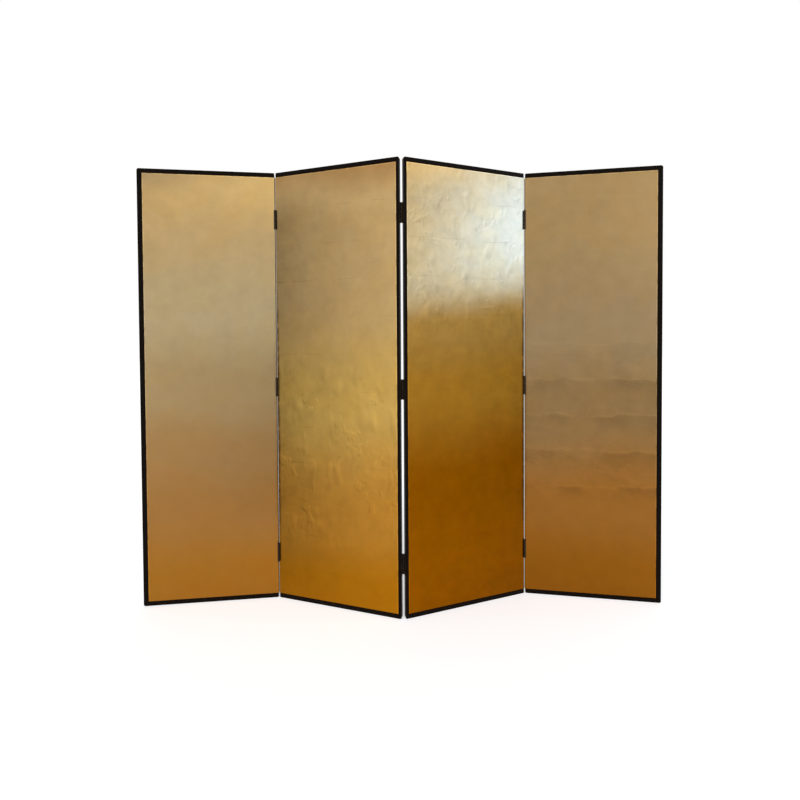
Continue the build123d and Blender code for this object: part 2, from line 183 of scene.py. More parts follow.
# %% Wires
class Wire:
    """A value on its way through a node tree."""

    def __init__(self, tree, socket):
        self.tree = tree
        self.socket = socket

    def __add__(self, other):
        return self.tree.maths("ADD", self, other)

    def __sub__(self, other):
        return self.tree.maths("SUBTRACT", self, other)

    def __rsub__(self, other):
        return self.tree.maths("SUBTRACT", other, self)

    def __mul__(self, other):
        return self.tree.maths("MULTIPLY", self, other)

    def __truediv__(self, other):
        return self.tree.maths("DIVIDE", self, other)

    def __abs__(self):
        return self.tree.maths("ABSOLUTE", self)

    __radd__ = __add__
    __rmul__ = __mul__

    def rise(self, low, high):
        """0 below low, 1 above high and a smooth step between them. With low above high it falls."""
        settings = {"interpolation_type": "SMOOTHSTEP"}
        limits = {"Value": self, "From Min": low, "From Max": high, "To Min": 0.0, "To Max": 1.0}
        if low > high:
            limits.update({"From Min": high, "From Max": low, "To Min": 1.0, "To Max": 0.0})
        return self.tree.add("ShaderNodeMapRange", settings, limits)

    def other(self, name):
        """Another output of the node that this wire comes from."""
        return Wire(self.tree, self.tree.socket(self.socket.node.outputs, name))


print("wires ready")

# %% [markdown]
# Every other node comes from one method of the tree, which sets the node's settings first and then fills
# or links its sockets. The same two classes serve shaders and Geometry Nodes, because both share these
# nodes.


# %% Trees
class Tree:
    """A node tree that is filled from Python."""

    def __init__(self, node_tree):
        self.nodes = node_tree.nodes
        self.links = node_tree.links

    def socket(self, sockets, name):
        if isinstance(name, int):
            return sockets[name]
        return next(s for s in sockets if s.name == name and s.enabled)

    def add(self, kind, settings=None, sockets=None, out=0):
        """A node of that kind: its settings, then its sockets' values or wires. Returns one output."""
        node = self.nodes.new(kind)
        for name, value in (settings or {}).items():
            if name == "stops":
                set_stops(node.color_ramp, value)
            else:
                setattr(node, name, value)
        for name, value in (sockets or {}).items():
            socket = self.socket(node.inputs, name)
            if isinstance(value, Wire):
                self.links.new(value.socket, socket)
            else:
                socket.default_value = value
        return Wire(self, self.socket(node.outputs, out)) if len(node.outputs) else node

    def maths(self, operation, *values):
        return self.add("ShaderNodeMath", {"operation": operation}, dict(enumerate(values)))

    def vector_maths(self, operation, *values):
        return self.add("ShaderNodeVectorMath", {"operation": operation}, dict(enumerate(values)))

    def vector(self, x, y, z):
        return self.add("ShaderNodeCombineXYZ", None, {"X": x, "Y": y, "Z": z})

    def parts(self, vector):
        x = self.add("ShaderNodeSeparateXYZ", None, {0: vector}, out="X")
        return x, x.other("Y"), x.other("Z")

    def noise(self, vector, scale, detail=2.0, roughness=0.5):
        """Smooth noise about 0.5, from 0 to 1."""
        return self.add(
            "ShaderNodeTexNoise",
            {"noise_dimensions": "3D"},
            {"Vector": vector, "Scale": scale, "Detail": detail, "Roughness": roughness},
        )

    def mix(self, share, a, b, blend="MIX"):
        """Colour a turning into colour b as share goes from 0 to 1."""
        settings = {"data_type": "RGBA", "blend_type": blend}
        return self.add("ShaderNodeMix", settings, {"Factor": share, "A": a, "B": b}, out="Result")


def set_stops(ramp, stops):
    """Give a colour ramp these (place, colour) stops, eased between them."""
    ramp.interpolation = "EASE"
    while len(ramp.elements) < len(stops):
        ramp.elements.new(0.5)
    for element, (place, colour) in zip(ramp.elements, sorted(stops)):
        element.position = place
        element.color = colour


def tone(red, green, blue):
    """A colour from its usual 0 to 255 values, as the linear one that a shader works with."""
    channels = [v / 255 for v in (red, green, blue)]
    linear = [v / 12.92 if v <= 0.04045 else ((v + 0.055) / 1.055) ** 2.4 for v in channels]
    return (*linear, 1.0)


print("trees ready")

# %% [markdown]
# ## A finish and its shader
# Every finish here is one Principled shader. What changes over a surface goes in by wire, and what is
# the same all over is set on the shader's own socket, because an exported model keeps only that.


# %% Start a finish
def new_finish(name, constants):
    """A material's tree and its Principled shader, with the values that hold all over it."""
    material = bpy.data.materials.new(name)
    material.use_nodes = True
    tree = Tree(material.node_tree)
    tree.nodes.clear()
    shader = tree.add("ShaderNodeBsdfPrincipled", None, constants).socket.node
    tree.add("ShaderNodeOutputMaterial", None, {"Surface": Wire(tree, shader.outputs[0])})
    return material, tree, shader


def join_up(tree, shader, varying):
    """Wire what changes over the surface into the shader."""
    for name, wire in varying.items():
        tree.links.new(wire.socket, shader.inputs[name])


def bump(tree, height, distance):
    """A normal that leans as if the surface rose by distance where height is 1."""
    return tree.add("ShaderNodeBump", None, {"Height": height, "Distance": distance, "Strength": 1.0})


def own_place(tree, panel):
    """Where a point is in its panel's frame, from Object coordinates: u, depth and height in metres."""
    row = tree.add("ShaderNodeTexCoord", None, None, out="Object")
    where = {"Location": panel.corner, "Rotation": (0, 0, panel.yaw), "Scale": (panel.hand, 1, 1)}
    return tree.add("ShaderNodeMapping", {"vector_type": "TEXTURE"}, {"Vector": row, **where})


PATTERN_SHIFT = 1.37  # metres of depth between one panel's patterns and the next one's
UNSHIFTED_PANEL = 3


def unlike(tree, place, panel):
    """The same place with a panel's own amount on its depth, so that no two panels' patterns match."""
    shift = (0.0, PATTERN_SHIFT * (panel.number - UNSHIFTED_PANEL), 0.0)
    return tree.vector_maths("ADD", place, shift)


print("finishes ready")

# %% [markdown]
# ## The studio
# Metal leaf shows little of its own: most of what the eye sees is the room in it. So the room is kept
# plain and white. The floor could be lit until it is white, but that would bleach the screen as well.
# Instead the floor's extra white and the world's go to camera, glossy and transmission rays only, so
# that they light nothing, and the floor keeps the screen's shadow.

# %% Floor and world
FLOOR_SIDE = 60.0
FLOOR_COLOUR = (0.86, 0.86, 0.86, 1.0)
FLOOR_LIFT = 0.3
WORLD_FILL = 0.66
WHITE = (1, 1, 1, 1)


def seen_rays(tree):
    """1 for the rays that show the room: camera, glossy and transmission."""
    camera_ray = tree.add("ShaderNodeLightPath", None, None, out="Is Camera Ray")
    either = tree.maths("MAXIMUM", camera_ray, camera_ray.other("Is Glossy Ray"))
    return tree.maths("MAXIMUM", either, camera_ray.other("Is Transmission Ray"))


def make_floor():
    mesh = bpy.data.meshes.new("floor")
    sheet = bmesh.new()
    bmesh.ops.create_grid(sheet, x_segments=1, y_segments=1, size=FLOOR_SIDE / 2)
    sheet.to_mesh(mesh)
    sheet.free()
    floor = put_in_scene("floor", mesh)
    material, tree, shader = new_finish("floor_white", {"Roughness": 0.9, "Specular IOR Level": 0.0})
    shader.inputs["Base Color"].default_value = FLOOR_COLOUR
    shader.inputs["Emission Color"].default_value = WHITE
    join_up(tree, shader, {"Emission Strength": seen_rays(tree) * FLOOR_LIFT})
    mesh.materials.append(material)
    floor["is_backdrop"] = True


def make_world():
    world = bpy.data.worlds.new("studio")
    world.use_nodes = True
    bpy.context.scene.world = world
    tree = Tree(world.node_tree)
    tree.nodes.clear()
    strength = WORLD_FILL + seen_rays(tree) * (1.0 - WORLD_FILL)
    white = tree.add("ShaderNodeBackground", None, {"Color": WHITE, "Strength": strength})
    tree.add("ShaderNodeOutputWorld", None, {"Surface": white})


make_floor()
make_world()
print(f"floor {FLOOR_SIDE:g} m, world fill {WORLD_FILL}")

# %% [markdown]
# To the right, where the third panel mirrors them, stand a wide pale wall of light and a smaller, cooler
# window in front of it. They put the pale sheet of light on that panel's upper third, with its cool pool
# towards the fold, and a painted glare in the leaf's colour adds to both. One lamp could do it, but an even
# glare looks painted on. The shadow comes from a wide soft sun, because a lamp close by would leave the far
# floor grey.

# %% Window, bright wall and sun
# what the third panel mirrors: place, what it faces, size, roll, radiance against a white of 1, colour
MIRRORED = {
    "bright_wall": ((2.75, -2.55, 2.56), (0.35, 0.0, 1.5), (3.6, 1.7), radians(6), 0.42, (1.0, 0.98, 0.93)),
    "window": ((2.86, -1.76, 2.24), (0.4, 0.0, 1.5), (0.95, 0.85), radians(8), 2.8, (0.24, 0.5, 1.0)),
}
SUN_STRENGTH = 1.15
SUN_FROM = (-0.5, -1.0, 1.5)
SUN_WIDTH = 50.0  # degrees across


def add_lamp(name, light, place, target, roll=0.0):
    lamp = put_in_scene(name, light)
    lamp.location = place
    aim = (Vector(target) - Vector(place)).to_track_quat("-Z", "Y").to_matrix()
    lamp.rotation_euler = (aim @ Matrix.Rotation(roll, 3, "Z")).to_euler()
    lamp.visible_camera = False


for name, (place, target, size, roll, radiance, colour) in MIRRORED.items():
    light = bpy.data.lights.new(name, "AREA")
    light.shape = "RECTANGLE"
    light.size, light.size_y = size
    light.energy = radiance * pi * size[0] * size[1]
    light.color = colour
    add_lamp(name, light, place, target, roll)

sun = bpy.data.lights.new("soft_sun", "SUN")
sun.energy = SUN_STRENGTH
sun.angle = radians(SUN_WIDTH)
add_lamp("soft_sun", sun, SUN_FROM, (0, 0, 0))
print(f"{len(MIRRORED)} soft lamps and a sun of {SUN_STRENGTH} W/m2")

# %% [markdown]
# ## Geometry Nodes run from Python
# What repeats, and what follows a rule, is made by a node tree with named inputs. The tree works on a
# base mesh through a modifier, and the evaluated result is copied out as a plain mesh, which is what
# the frame and the export need.


# %% Build and run a Geometry Nodes tree
def new_group(name, inputs):
    """A Geometry Nodes tree with these (name, socket type) inputs and one geometry output."""
    group = bpy.data.node_groups.new(name, "GeometryNodeTree")
    for label, kind in inputs:
        group.interface.new_socket(name=label, in_out="INPUT", socket_type=kind)
    group.interface.new_socket(name="Geometry", in_out="OUTPUT", socket_type="NodeSocketGeometry")
    tree = Tree(group)
    wires = {label: tree.add("NodeGroupInput", None, None, out=label) for label, _ in inputs}
    return group, tree, wires


def close_group(tree, geometry, finish):
    """Real geometry with its finish on, as the tree's output."""
    real = tree.add("GeometryNodeRealizeInstances", None, {"Geometry": geometry})
    dressed = tree.add("GeometryNodeSetMaterial", None, {"Geometry": real, "Material": finish})
    tree.add("NodeGroupOutput", None, {"Geometry": dressed})


def carried(tree, name, kind):
    """What a point's own attribute says."""
    return tree.add("GeometryNodeInputNamedAttribute", {"data_type": kind}, {"Name": name}, out="Attribute")


def plain_copy(thing):
    """A plain mesh of what an object's modifiers make of it."""
    depsgraph = bpy.context.evaluated_depsgraph_get()
    return bpy.data.meshes.new_from_object(thing.evaluated_get(depsgraph), depsgraph=depsgraph)


def run_group(group, base, values):
    """The mesh that the tree makes of a base mesh, with its inputs set by their identifiers."""
    holder = put_in_scene("holder", base)
    modifier = holder.modifiers.new("nodes", "NODES")
    modifier.node_group = group
    for item in group.interface.items_tree:
        if item.in_out == "INPUT" and item.name in values:
            modifier[item.identifier] = values[item.name]
    made = plain_copy(holder)
    bpy.data.objects.remove(holder)
    return made


print("Geometry Nodes ready")

# %% [markdown]
# A finished piece is shaded smooth except at its sharp edges. It rides on a body, so that it moves with
# that panel, and the nodes that it stands for are hidden.

# %% Add a finished piece
SHARP_FROM = radians(30)  # edges that turn by more than this aren't smoothed


def add_piece(name, mesh, body, nodes):
    """A finished piece: smooth but for its sharp edges, riding on its body in its nodes' place."""
    mesh.shade_smooth()
    mesh.set_sharp_from_angle(angle=SHARP_FROM)
    piece = put_in_scene(name, mesh)
    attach(piece, body)
    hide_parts(*nodes)
    print(f"{name}: {len(mesh.vertices)} points, {len(mesh.polygons)} faces")


print(f"edges over {degrees(SHARP_FROM):.0f} degrees stay sharp")

# %% [markdown]
# ## Paper that is not quite flat
# The faces are paper, stretched damp over a lattice of thin ribs, so they are nearly flat but never
# quite: each bay sinks a little between its ribs, and the whole skin has long soft cockles. A mirror-like
# gilding makes even a tenth of a millimetre visible. A bump map could fake it, but the outline of a
# reflection comes out better from real shape, so a fine grid of points is lifted by a rule. The tree
# moves only points whose attribute says that they are free, and the glued edges stay where they are.

# %% The tree that cockles paper
PAPER_INPUTS = [
    ("Geometry", "NodeSocketGeometry"),
    ("Bay Start", "NodeSocketVector"),
    ("Bay Size", "NodeSocketVector"),
    ("Bay Sag", "NodeSocketFloat"),
    ("Cockle Height", "NodeSocketFloat"),
    ("Ripple Height", "NodeSocketFloat"),
    ("Seed", "NodeSocketFloat"),
    ("Finish", "NodeSocketMaterial"),
]
# how many cockles and ripples a metre holds, across and up
COCKLES = (5.0, 3.2)
RIPPLES = (4.0, 30.0)
RIPPLE_SEED = 7.0


def cockle_group():
    """Lifts a paper's free points along their normals, by sag, cockles and ripples."""
    group, tree, given = new_group("cockled_paper", PAPER_INPUTS)
    place = tree.add("GeometryNodeInputPosition")
    from_start = tree.vector_maths("SUBTRACT", place, given["Bay Start"])
    across, _, up = tree.parts(tree.vector_maths("DIVIDE", from_start, given["Bay Size"]))
    sink = abs(tree.maths("SINE", across * pi)) * abs(tree.maths("SINE", up * pi))
    u, _, height = tree.parts(place)
    long_soft = tree.vector(u * COCKLES[0], given["Seed"], height * COCKLES[1])
    cockle = tree.noise(long_soft, 1.0, detail=1.0) - 0.5
    banded = tree.vector(u * RIPPLES[0], given["Seed"] + RIPPLE_SEED, height * RIPPLES[1])
    ripple = tree.noise(banded, 1.0, detail=1.0) - 0.5
    lift = cockle * given["Cockle Height"] + ripple * given["Ripple Height"] - sink * given["Bay Sag"]
    free = carried(tree, "free", "FLOAT")
    lean = {"Vector": tree.add("GeometryNodeInputNormal"), "Scale": lift * free}
    offset = tree.add("ShaderNodeVectorMath", {"operation": "SCALE"}, lean)
    moved = tree.add("GeometryNodeSetPosition", None, {"Geometry": given["Geometry"], "Offset": offset})
    close_group(tree, moved, given["Finish"])
    return group


COCKLED_PAPER = cockle_group()
print(f"tree with {len(COCKLED_PAPER.nodes)} nodes")

# %% [markdown]
# The skin itself is a closed shell: a ring of points in plan, repeated up the height and capped. A flat
# sheet with a Solidify modifier could do it, but here only the outer face needs fine points, and each
# point has to say how free it is to move.

# %% A closed shell from a ring
GLUED_EDGE = 4 * MM  # held flat beside the bars
EASING = 22 * MM  # from the glued edge to where the paper is free
SAME_DEPTH = 0.001 * MM


def evenly(low, high, step):
    """Points from low to high, no further apart than step."""
    return list(np.linspace(low, high, ceil((high - low) / step) + 1))


def shell(name, ring, heights, outer):
    """A closed mesh from a ring of (u, depth) points, anticlockwise from above, at each height."""
    count = len(ring)
    points = [(u, depth, z) for z in heights for u, depth in ring]
    faces = []
    for row in range(len(heights) - 1):
        at = row * count
        for i in range(count):
            after = (i + 1) % count
            faces.append((at + i, at + after, at + count + after, at + count + i))
    faces.append(tuple(reversed(range(count))))
    faces.append(tuple(len(points) - count + i for i in range(count)))
    mesh = bpy.data.meshes.new(name)
    mesh.from_pydata(points, [], faces)
    free = mesh.attributes.new("free", "FLOAT", "POINT")
    free.data.foreach_set("value", freedom(points, ring, heights, outer))
    return mesh


def freedom(points, ring, heights, outer):
    """How free each point is: 0 on edges and inner faces, and 1 well inside the outer face."""
    place = np.array(points)
    width = max(u for u, _ in ring)
    inside = np.minimum.reduce(
        [place[:, 0], width - place[:, 0], place[:, 2] - heights[0], heights[-1] - place[:, 2]]
    )
    share = np.clip((inside - GLUED_EDGE) / EASING, 0, 1)
    on_face = np.abs(place[:, 1] - outer) < SAME_DEPTH
    return (share * share * (3 - 2 * share) * on_face).astype(np.float32)


print(f"paper is held flat for {GLUED_EDGE / MM:g} mm and free {EASING / MM:g} mm further in")

# %% [markdown]
# The gilded paper turns round the fold edge in a small arc, and the backing is a plain thin slab. Both
# swell a little at that edge, where they lap each other, which keeps some light out of a side fold. The
# paper sinks between the lattice's ribs, so its bays are worked out from the lattice's own sizes.

# %% The papers' plan and the lattice's bays
CORE_BAR = 20 * MM
RIB = 10 * MM
UPRIGHT_RIBS = 3
CROSS_RIBS = 10
FOLD_RADIUS = 1 * MM
FOLD_STEPS = 5
FOLD_SWELL = 0.5 * MM  # how far the papers stand out at the fold edge
GILDED_STEP = 5 * MM  # between the points of a gilded face


def gilded_ring(width):
    """Plan of the gilded paper: its face, the turn over the fold edge, and its inner side."""
    face = [(u, -PAPER_FACE) for u in evenly(FOLD_RADIUS, width, GILDED_STEP)]
    arc = []
    for i in range(1, FOLD_STEPS):
        angle = pi / 2 * i / FOLD_STEPS
        u = FOLD_RADIUS - (FOLD_RADIUS + FOLD_SWELL) * cos(angle)
        arc.append((u, FOLD_RADIUS * (1 - sin(angle)) - PAPER_FACE))
    edge = [(-FOLD_SWELL, FOLD_RADIUS - PAPER_FACE), (-FOLD_SWELL, PAPER_BACK)]
    inner = [(PAPER_THICKNESS, PAPER_BACK), (PAPER_THICKNESS, -PAPER_BACK), (width, -PAPER_BACK)]
    return edge + inner + face[::-1] + arc[::-1]


def bay_inputs(panel):
    """Where the lattice's bays start and how large they are, from rib centre to rib centre."""
    low_u, high_u = PAPER_THICKNESS + CORE_BAR, panel.paper_width - CORE_BAR
    low_z, high_z = RAIL_FACE + CORE_BAR, SCREEN_HEIGHT - RAIL_FACE - CORE_BAR
    wide = (high_u - low_u - UPRIGHT_RIBS * RIB) / (UPRIGHT_RIBS + 1) + RIB
    tall = (high_z - low_z - CROSS_RIBS * RIB) / (CROSS_RIBS + 1) + RIB
    return {"Bay Start": (low_u - RIB / 2, 0, low_z - RIB / 2), "Bay Size": (wide, 1, tall)}


print(f"{len(gilded_ring(PANEL_WIDTH))} points round a gilded paper")

# %% [markdown]
# At the side folds the hinge leaves lie let into the papered edge, so the gilded skin is cut away round
# each of them. Notches in the grid would need its points to line up with every leaf, so a Boolean takes
# the seats out once the skin has its cockles.

# %% Cut out the hinge seats
# how far a fold's outer hinges are from the ends of the screen
HINGE_INSETS = {"left_fold": 190 * MM, "middle_fold": 205 * MM, "right_fold": 190 * MM}
HINGE_HEIGHTS = {
    fold: (inset, SCREEN_HEIGHT / 2, SCREEN_HEIGHT - inset) for fold, inset in HINGE_INSETS.items()
}
SEAT_HALF = 38.1 * MM  # half the height of a hinge leaf with its clearance
OVERCUT = 1 * MM  # how far the cutting boxes reach out of the paper


def boxes(name, corners):
    """One mesh of closed boxes, each from its (lowest, highest) corner, to cut with."""
    mesh = bpy.data.meshes.new(name)
    work = bmesh.new()
    for low, high in corners:
        low, high = Vector(low), Vector(high)
        place = Matrix.Translation((low + high) / 2) @ Matrix.Diagonal((*(high - low), 1))
        bmesh.ops.create_cube(work, size=1.0, matrix=place)
    work.to_mesh(mesh)
    work.free()
    return mesh


def cut_away(mesh, tool):
    """The mesh with the tool's mesh cut out of it."""
    whole = put_in_scene("whole", mesh)
    cutter = put_in_scene("tool", tool)
    cut = whole.modifiers.new("cut", "BOOLEAN")
    cut.operation = "DIFFERENCE"
    cut.object = cutter
    made = plain_copy(whole)
    bpy.data.objects.remove(whole)
    bpy.data.objects.remove(cutter)
    return made


def hinge_seats(heights):
    """What the flush leaves take out of a panel's papered edge."""
    low, high = (-OVERCUT, -PAPER_FACE - OVERCUT), (LEAF_THICKNESS, PAPER_BACK)
    return boxes("hinge_seats", [((*low, z - SEAT_HALF), (*high, z + SEAT_HALF)) for z in heights])


print(f"seats {2 * SEAT_HALF / MM:.1f} mm tall")

# %% [markdown]
# ## Gold leaf
# The faces are gilded with leaf over paper. From top to foot the tone goes from a pale tan gold through a
# greyish one to a deep amber, each panel has its own share of that, and towards the folds the leaf is
# darker. The gold itself is the leaf's own, but the ramp from a pale top to a dark warm foot is painted
# reflection of the room that the leaf mirrors, and the darker folds are painted shade. One gold all over
# would look like foil, so the tones are a colour ramp up each panel, and each stop of a ramp is a tone with
# a name.

# %% Tones of the leaf
EMBER = tone(157, 105, 36)
AMBER = tone(154, 110, 58)
HONEY = tone(155, 120, 75)
TAN = tone(161, 136, 96)
DUN = tone(172, 153, 116)
PALE = tone(182, 152, 103)
TAWNY = tone(166, 108, 14)
TOPAZ = tone(173, 122, 46)
GILT = tone(187, 152, 80)
CHESTNUT = tone(139, 81, 0)
UMBER = tone(126, 73, 0)
BRONZE = tone(149, 106, 32)
FAWN = tone(152, 117, 56)
# painted glare: the pale grey tone of the third panel's upper third
PAINTED_GLARE = tone(178, 162, 127)
RUSSET = tone(138, 86, 20)
CLAY = tone(143, 95, 40)
ASH = tone(136, 108, 70)
PUTTY = tone(149, 126, 92)
WHEAT = tone(157, 130, 88)
# PEARL and BRASS are painted highlight tones, pale patches towards the fold near the top; BRASS also tops
# the third panel's ramp
PEARL = tone(187, 178, 153)
BRASS = tone(200, 167, 108)

# place up the panel, from foot to top, and tone. The ramps hold painted reflection: a pale top, a dark warm
# foot, and on the third panel a painted glare over its upper third
LEAF_TONE_AND_REFLECTION_RAMPS = {
    1: [(0.06, EMBER), (0.22, AMBER), (0.36, HONEY), (0.5, TAN), (0.66, DUN), (0.94, PALE), (1.0, TAN)],
    2: [(0.06, TAWNY), (0.22, TOPAZ), (0.48, GILT), (0.72, PALE), (0.91, PALE), (1.0, HONEY)],
    3: [(0.06, CHESTNUT), (0.3, UMBER), (0.5, BRONZE), (0.655, FAWN), (0.755, PAINTED_GLARE), (0.93, DUN),
        (1.0, BRASS)],
    4: [(0.06, RUSSET), (0.22, CLAY), (0.46, ASH), (0.62, PUTTY), (0.88, WHEAT)],
}
# painted shade: how much the leaf darkens towards the fold, and the places up the panel where that starts
# and ends
FOLD_PAINTED_SHADE = {
    1: (0.2, (0.1, 0.32), (0.74, 0.5)),
    2: (0.53, (-0.3, 0.3), (0.99, 0.87)),
    3: (0.24, (-0.5, 0.0), (0.74, 0.6)),
    4: (0.03, (-0.5, 0.0), (0.97, 0.9)),
}
# painted highlight: the pale tone that the leaf turns to towards the fold near the top, and the places up
# the panel where that comes in
FOLD_PAINTED_HIGHLIGHT = {1: (BRASS, (0.82, 0.98)), 3: (PEARL, (0.68, 0.8))}
RAMP_LEAN = {1: 0.0, 2: 0.0, 3: 0.016, 4: 0.0}  # how much further up the ramp the stile's side is
print(f"{len(LEAF_TONE_AND_REFLECTION_RAMPS)} ramps")

# %% [markdown]
# Leaf comes in squares, and each laps the last by a few millimetres. Up close every square takes the light
# a little differently, and the laps show as lines where they weren't burnished away: darker lines on most
# panels, and on the fourth a painted highlight along each lap with painted shade under it. Some panels were
# laid with more care than others, so each has its own values, side by side in one table.

# %% How the leaf was laid
LEAF_ACROSS = 132 * MM
LEAF_UP = 147 * MM
LEAF_FOOT = {1: 60 * MM, 2: 128 * MM, 3: 134 * MM, 4: 18 * MM}  # height of the first lap
LAP_WIDTH = {1: 2.2 * MM, 2: 2.2 * MM, 3: 2.2 * MM, 4: 13 * MM}  # between rows
SIDE_LAP = 2.2 * MM  # between columns
LAP_SWAY = {1: 8 * MM, 2: 12 * MM, 3: 20 * MM, 4: 50 * MM}  # how far a lap strays from level
COLUMN_SWAY = 0.4  # share of that by which the columns stray
COLUMN_STAGGER = 0.31  # of a leaf, from one row to the next

# How each panel's leaf took its laying. from_height and to_height bound the creased part, in metres.
# Crumple is how uneven the surface feels, and warming how much of it is laid thin. Folds are broad and
# strokes short and sharp, both with how many a metre holds across and up. Laps show where a noise is above
# lap_hidden, and lap_beyond is how well they show outside the creased part. Tones say how much lighter a
# thing is than the leaf round it: the blotches' tone is the leaf's own, the folds' and strokes' is painted
# light and shade on their flanks, the laps' is a darker line but on the fourth panel a painted highlight,
# and the sag's is painted shade under a lap.
LAYING = {
    1: {"from_height": 0.9, "to_height": 1.7, "crumple": 0.7, "warming": 0.3, "blotch_tone": 0.22,
        "folds": (12, 9), "fold_light_and_shade": 0.02, "strokes": (30, 30), "stroke_light_and_shade": 0.02,
        "lap_hidden": 0.55, "lap_beyond": 1.0, "lap_line_and_highlight": -0.02, "sag_painted_shade": 0.0},
    2: {"from_height": 0.28, "to_height": 0.92, "crumple": 1.0, "warming": 0.35, "blotch_tone": 0.36,
        "folds": (19, 9), "fold_light_and_shade": 0.16, "strokes": (44, 20), "stroke_light_and_shade": 0.16,
        "lap_hidden": 0.5, "lap_beyond": 1.0, "lap_line_and_highlight": -0.14, "sag_painted_shade": 0.0},
    3: {"from_height": 1.14, "to_height": 1.8, "crumple": 1.7, "warming": 0.45, "blotch_tone": 0.6,
        "folds": (20, 9), "fold_light_and_shade": 0.17, "strokes": (38, 30), "stroke_light_and_shade": 0.18,
        "lap_hidden": 0.44, "lap_beyond": 0.6, "lap_line_and_highlight": -0.15, "sag_painted_shade": 0.0},
    4: {"from_height": 0.42, "to_height": 1.0, "crumple": 1.0, "warming": 0.35, "blotch_tone": 0.3,
        "folds": (6, 20), "fold_light_and_shade": 0.06, "strokes": (26, 60), "stroke_light_and_shade": 0.08,
        "lap_hidden": 0.42, "lap_beyond": 0.15, "lap_line_and_highlight": 0.11, "sag_painted_shade": -0.2},
}
print(f"leaves of {LEAF_ACROSS / MM:g} by {LEAF_UP / MM:g} mm")

# %% [markdown]
# The squares could be cut into the mesh, but they have hardly any height, so they come from rounding the
# place to a whole leaf. A crease is one flank of a smooth noise less the same flank a little further on,
# which is bright on one side and dark on the other. In the leaf's colour that is painted light and shade,
# as a real fold under a lamp shows, and the same ridges go into the bump as well.

# %% Laps and creases in the leaf
CREASE_SWAY = (50 * MM, 90 * MM)  # how far a crease strays, across and up
OTHER_FLANK = 0.14  # how far on a ridge's second flank lies, in waves of its noise


def leaf_laps(tree, place, panel):
    """Masks of the laps between rows and between columns, the nearness of the lap above, and a number
    for each leaf."""
    u, _, height = tree.parts(place)
    sway = (tree.noise(place, 9.0, detail=2.0) - 0.5) * LAP_SWAY[panel.number]
    row = (height + sway - LEAF_FOOT[panel.number]) / LEAF_UP
    column = (u + sway * COLUMN_SWAY) / LEAF_ACROSS + tree.maths("FLOOR", row) * COLUMN_STAGGER
    cell = tree.vector(tree.maths("FLOOR", column), tree.maths("FLOOR", row), panel.number * 5.0)
    chance = tree.add("ShaderNodeTexWhiteNoise", {"noise_dimensions": "3D"}, {"Vector": cell}, out="Value")
    to_side = abs(tree.maths("FRACT", column) - 0.5) * -LEAF_ACROSS + LEAF_ACROSS / 2
    to_foot = abs(tree.maths("FRACT", row) - 0.5) * -LEAF_UP + LEAF_UP / 2
    hidden = LAYING[panel.number]["lap_hidden"]
    shown = tree.noise(place, 11.0).rise(hidden, hidden + 0.12)
    across = to_foot.rise(LAP_WIDTH[panel.number], 0.0) * shown
    upright = to_side.rise(SIDE_LAP, 0.0) * tree.noise(place, 17.0).rise(0.5, 0.7)
    return across, upright, tree.maths("FRACT", row).rise(0.4, 1.0), chance


def creases(tree, place, per_metre, sharp, seed):
    """Soft ridges, bright on one flank and dark on the other: from -1 to 1, mostly 0."""
    u, depth, height = tree.parts(place)
    bend_across = (tree.noise(place, 11.0, detail=1.0) - 0.5) * CREASE_SWAY[0]
    bend_up = (tree.noise(place, 8.0, detail=1.0) - 0.5) * CREASE_SWAY[1]
    flanks = []
    for shift in (0.0, OTHER_FLANK):
        across = (u + bend_across) * per_metre[0] + (seed + shift)
        up = (height + bend_up) * per_metre[1] + shift
        ridge = tree.noise(tree.vector(across, depth, up), 1.0, detail=1.0)
        flanks.append(ridge.rise(0.5, 0.5 + sharp))
    return flanks[0] - flanks[1]


print(f"creases stray by up to {max(CREASE_SWAY) / 2 / MM:g} mm")

# %% [markdown]
# Along the bars runs a thin pale rim, which is a painted highlight. Round the papered edge the leaf gives
# way to the brown size under it, and a narrow strip beside the side folds of the two middle panels, over
# the middle of their height, is a painted shadow of the fold in the same brown. All of that follows the
# panel's outline, so these are masks from the distance to an edge.

# %% Painted rims, bare edges and painted fold shadows
RIM_WIDTH = 3.2 * MM
EDGE_WIDTH = 1.1 * MM
SHADOW_STRIP_WIDTH = 15 * MM
SHADOW_STRIP_SHARE = {1: 0.2, 2: 1.0, 3: 1.0, 4: 0.2}  # the two middle panels get most of the painted fold shadow
SHADOW_STRIP_FROM = (0.1, 0.26)  # places up the panel where the painted fold shadow comes in
SHADOW_STRIP_TO = (0.78, 0.6)  # and where it ends


def painted_rim_of(tree, u, height, panel):
    """1 along the bars, where a thin painted highlight runs."""
    side, top = panel.paper_width, SCREEN_HEIGHT - RAIL_FACE
    near_side = u.rise(side - RIM_WIDTH, side - 0.6 * RIM_WIDTH)
    near_top = height.rise(top - RIM_WIDTH, top - 0.6 * RIM_WIDTH)
    return tree.maths("MAXIMUM", near_side, near_top)


def edge_and_fold_shadow(tree, place, u, panel, level):
    """1 where brown size shows: along the fold edge, and in a painted shadow strip beside it over part of
    the panel's height.
    """
    edge = u.rise(EDGE_WIDTH, 0.5 * EDGE_WIDTH)
    # painted shadow: a brown strip beside the side fold stands for the shade in the fold
    shadow_heights = level.rise(*SHADOW_STRIP_FROM) * level.rise(*SHADOW_STRIP_TO) * SHADOW_STRIP_SHARE[panel.number]
    shadowed = u.rise(SHADOW_STRIP_WIDTH, EDGE_WIDTH) * shadow_heights * tree.noise(place, 26.0).rise(0.2, 0.6)
    return tree.maths("MAXIMUM", edge, shadowed)


print(f"rims {RIM_WIDTH / MM:g} mm wide, gripped strips {SHADOW_STRIP_WIDTH / MM:g} mm")

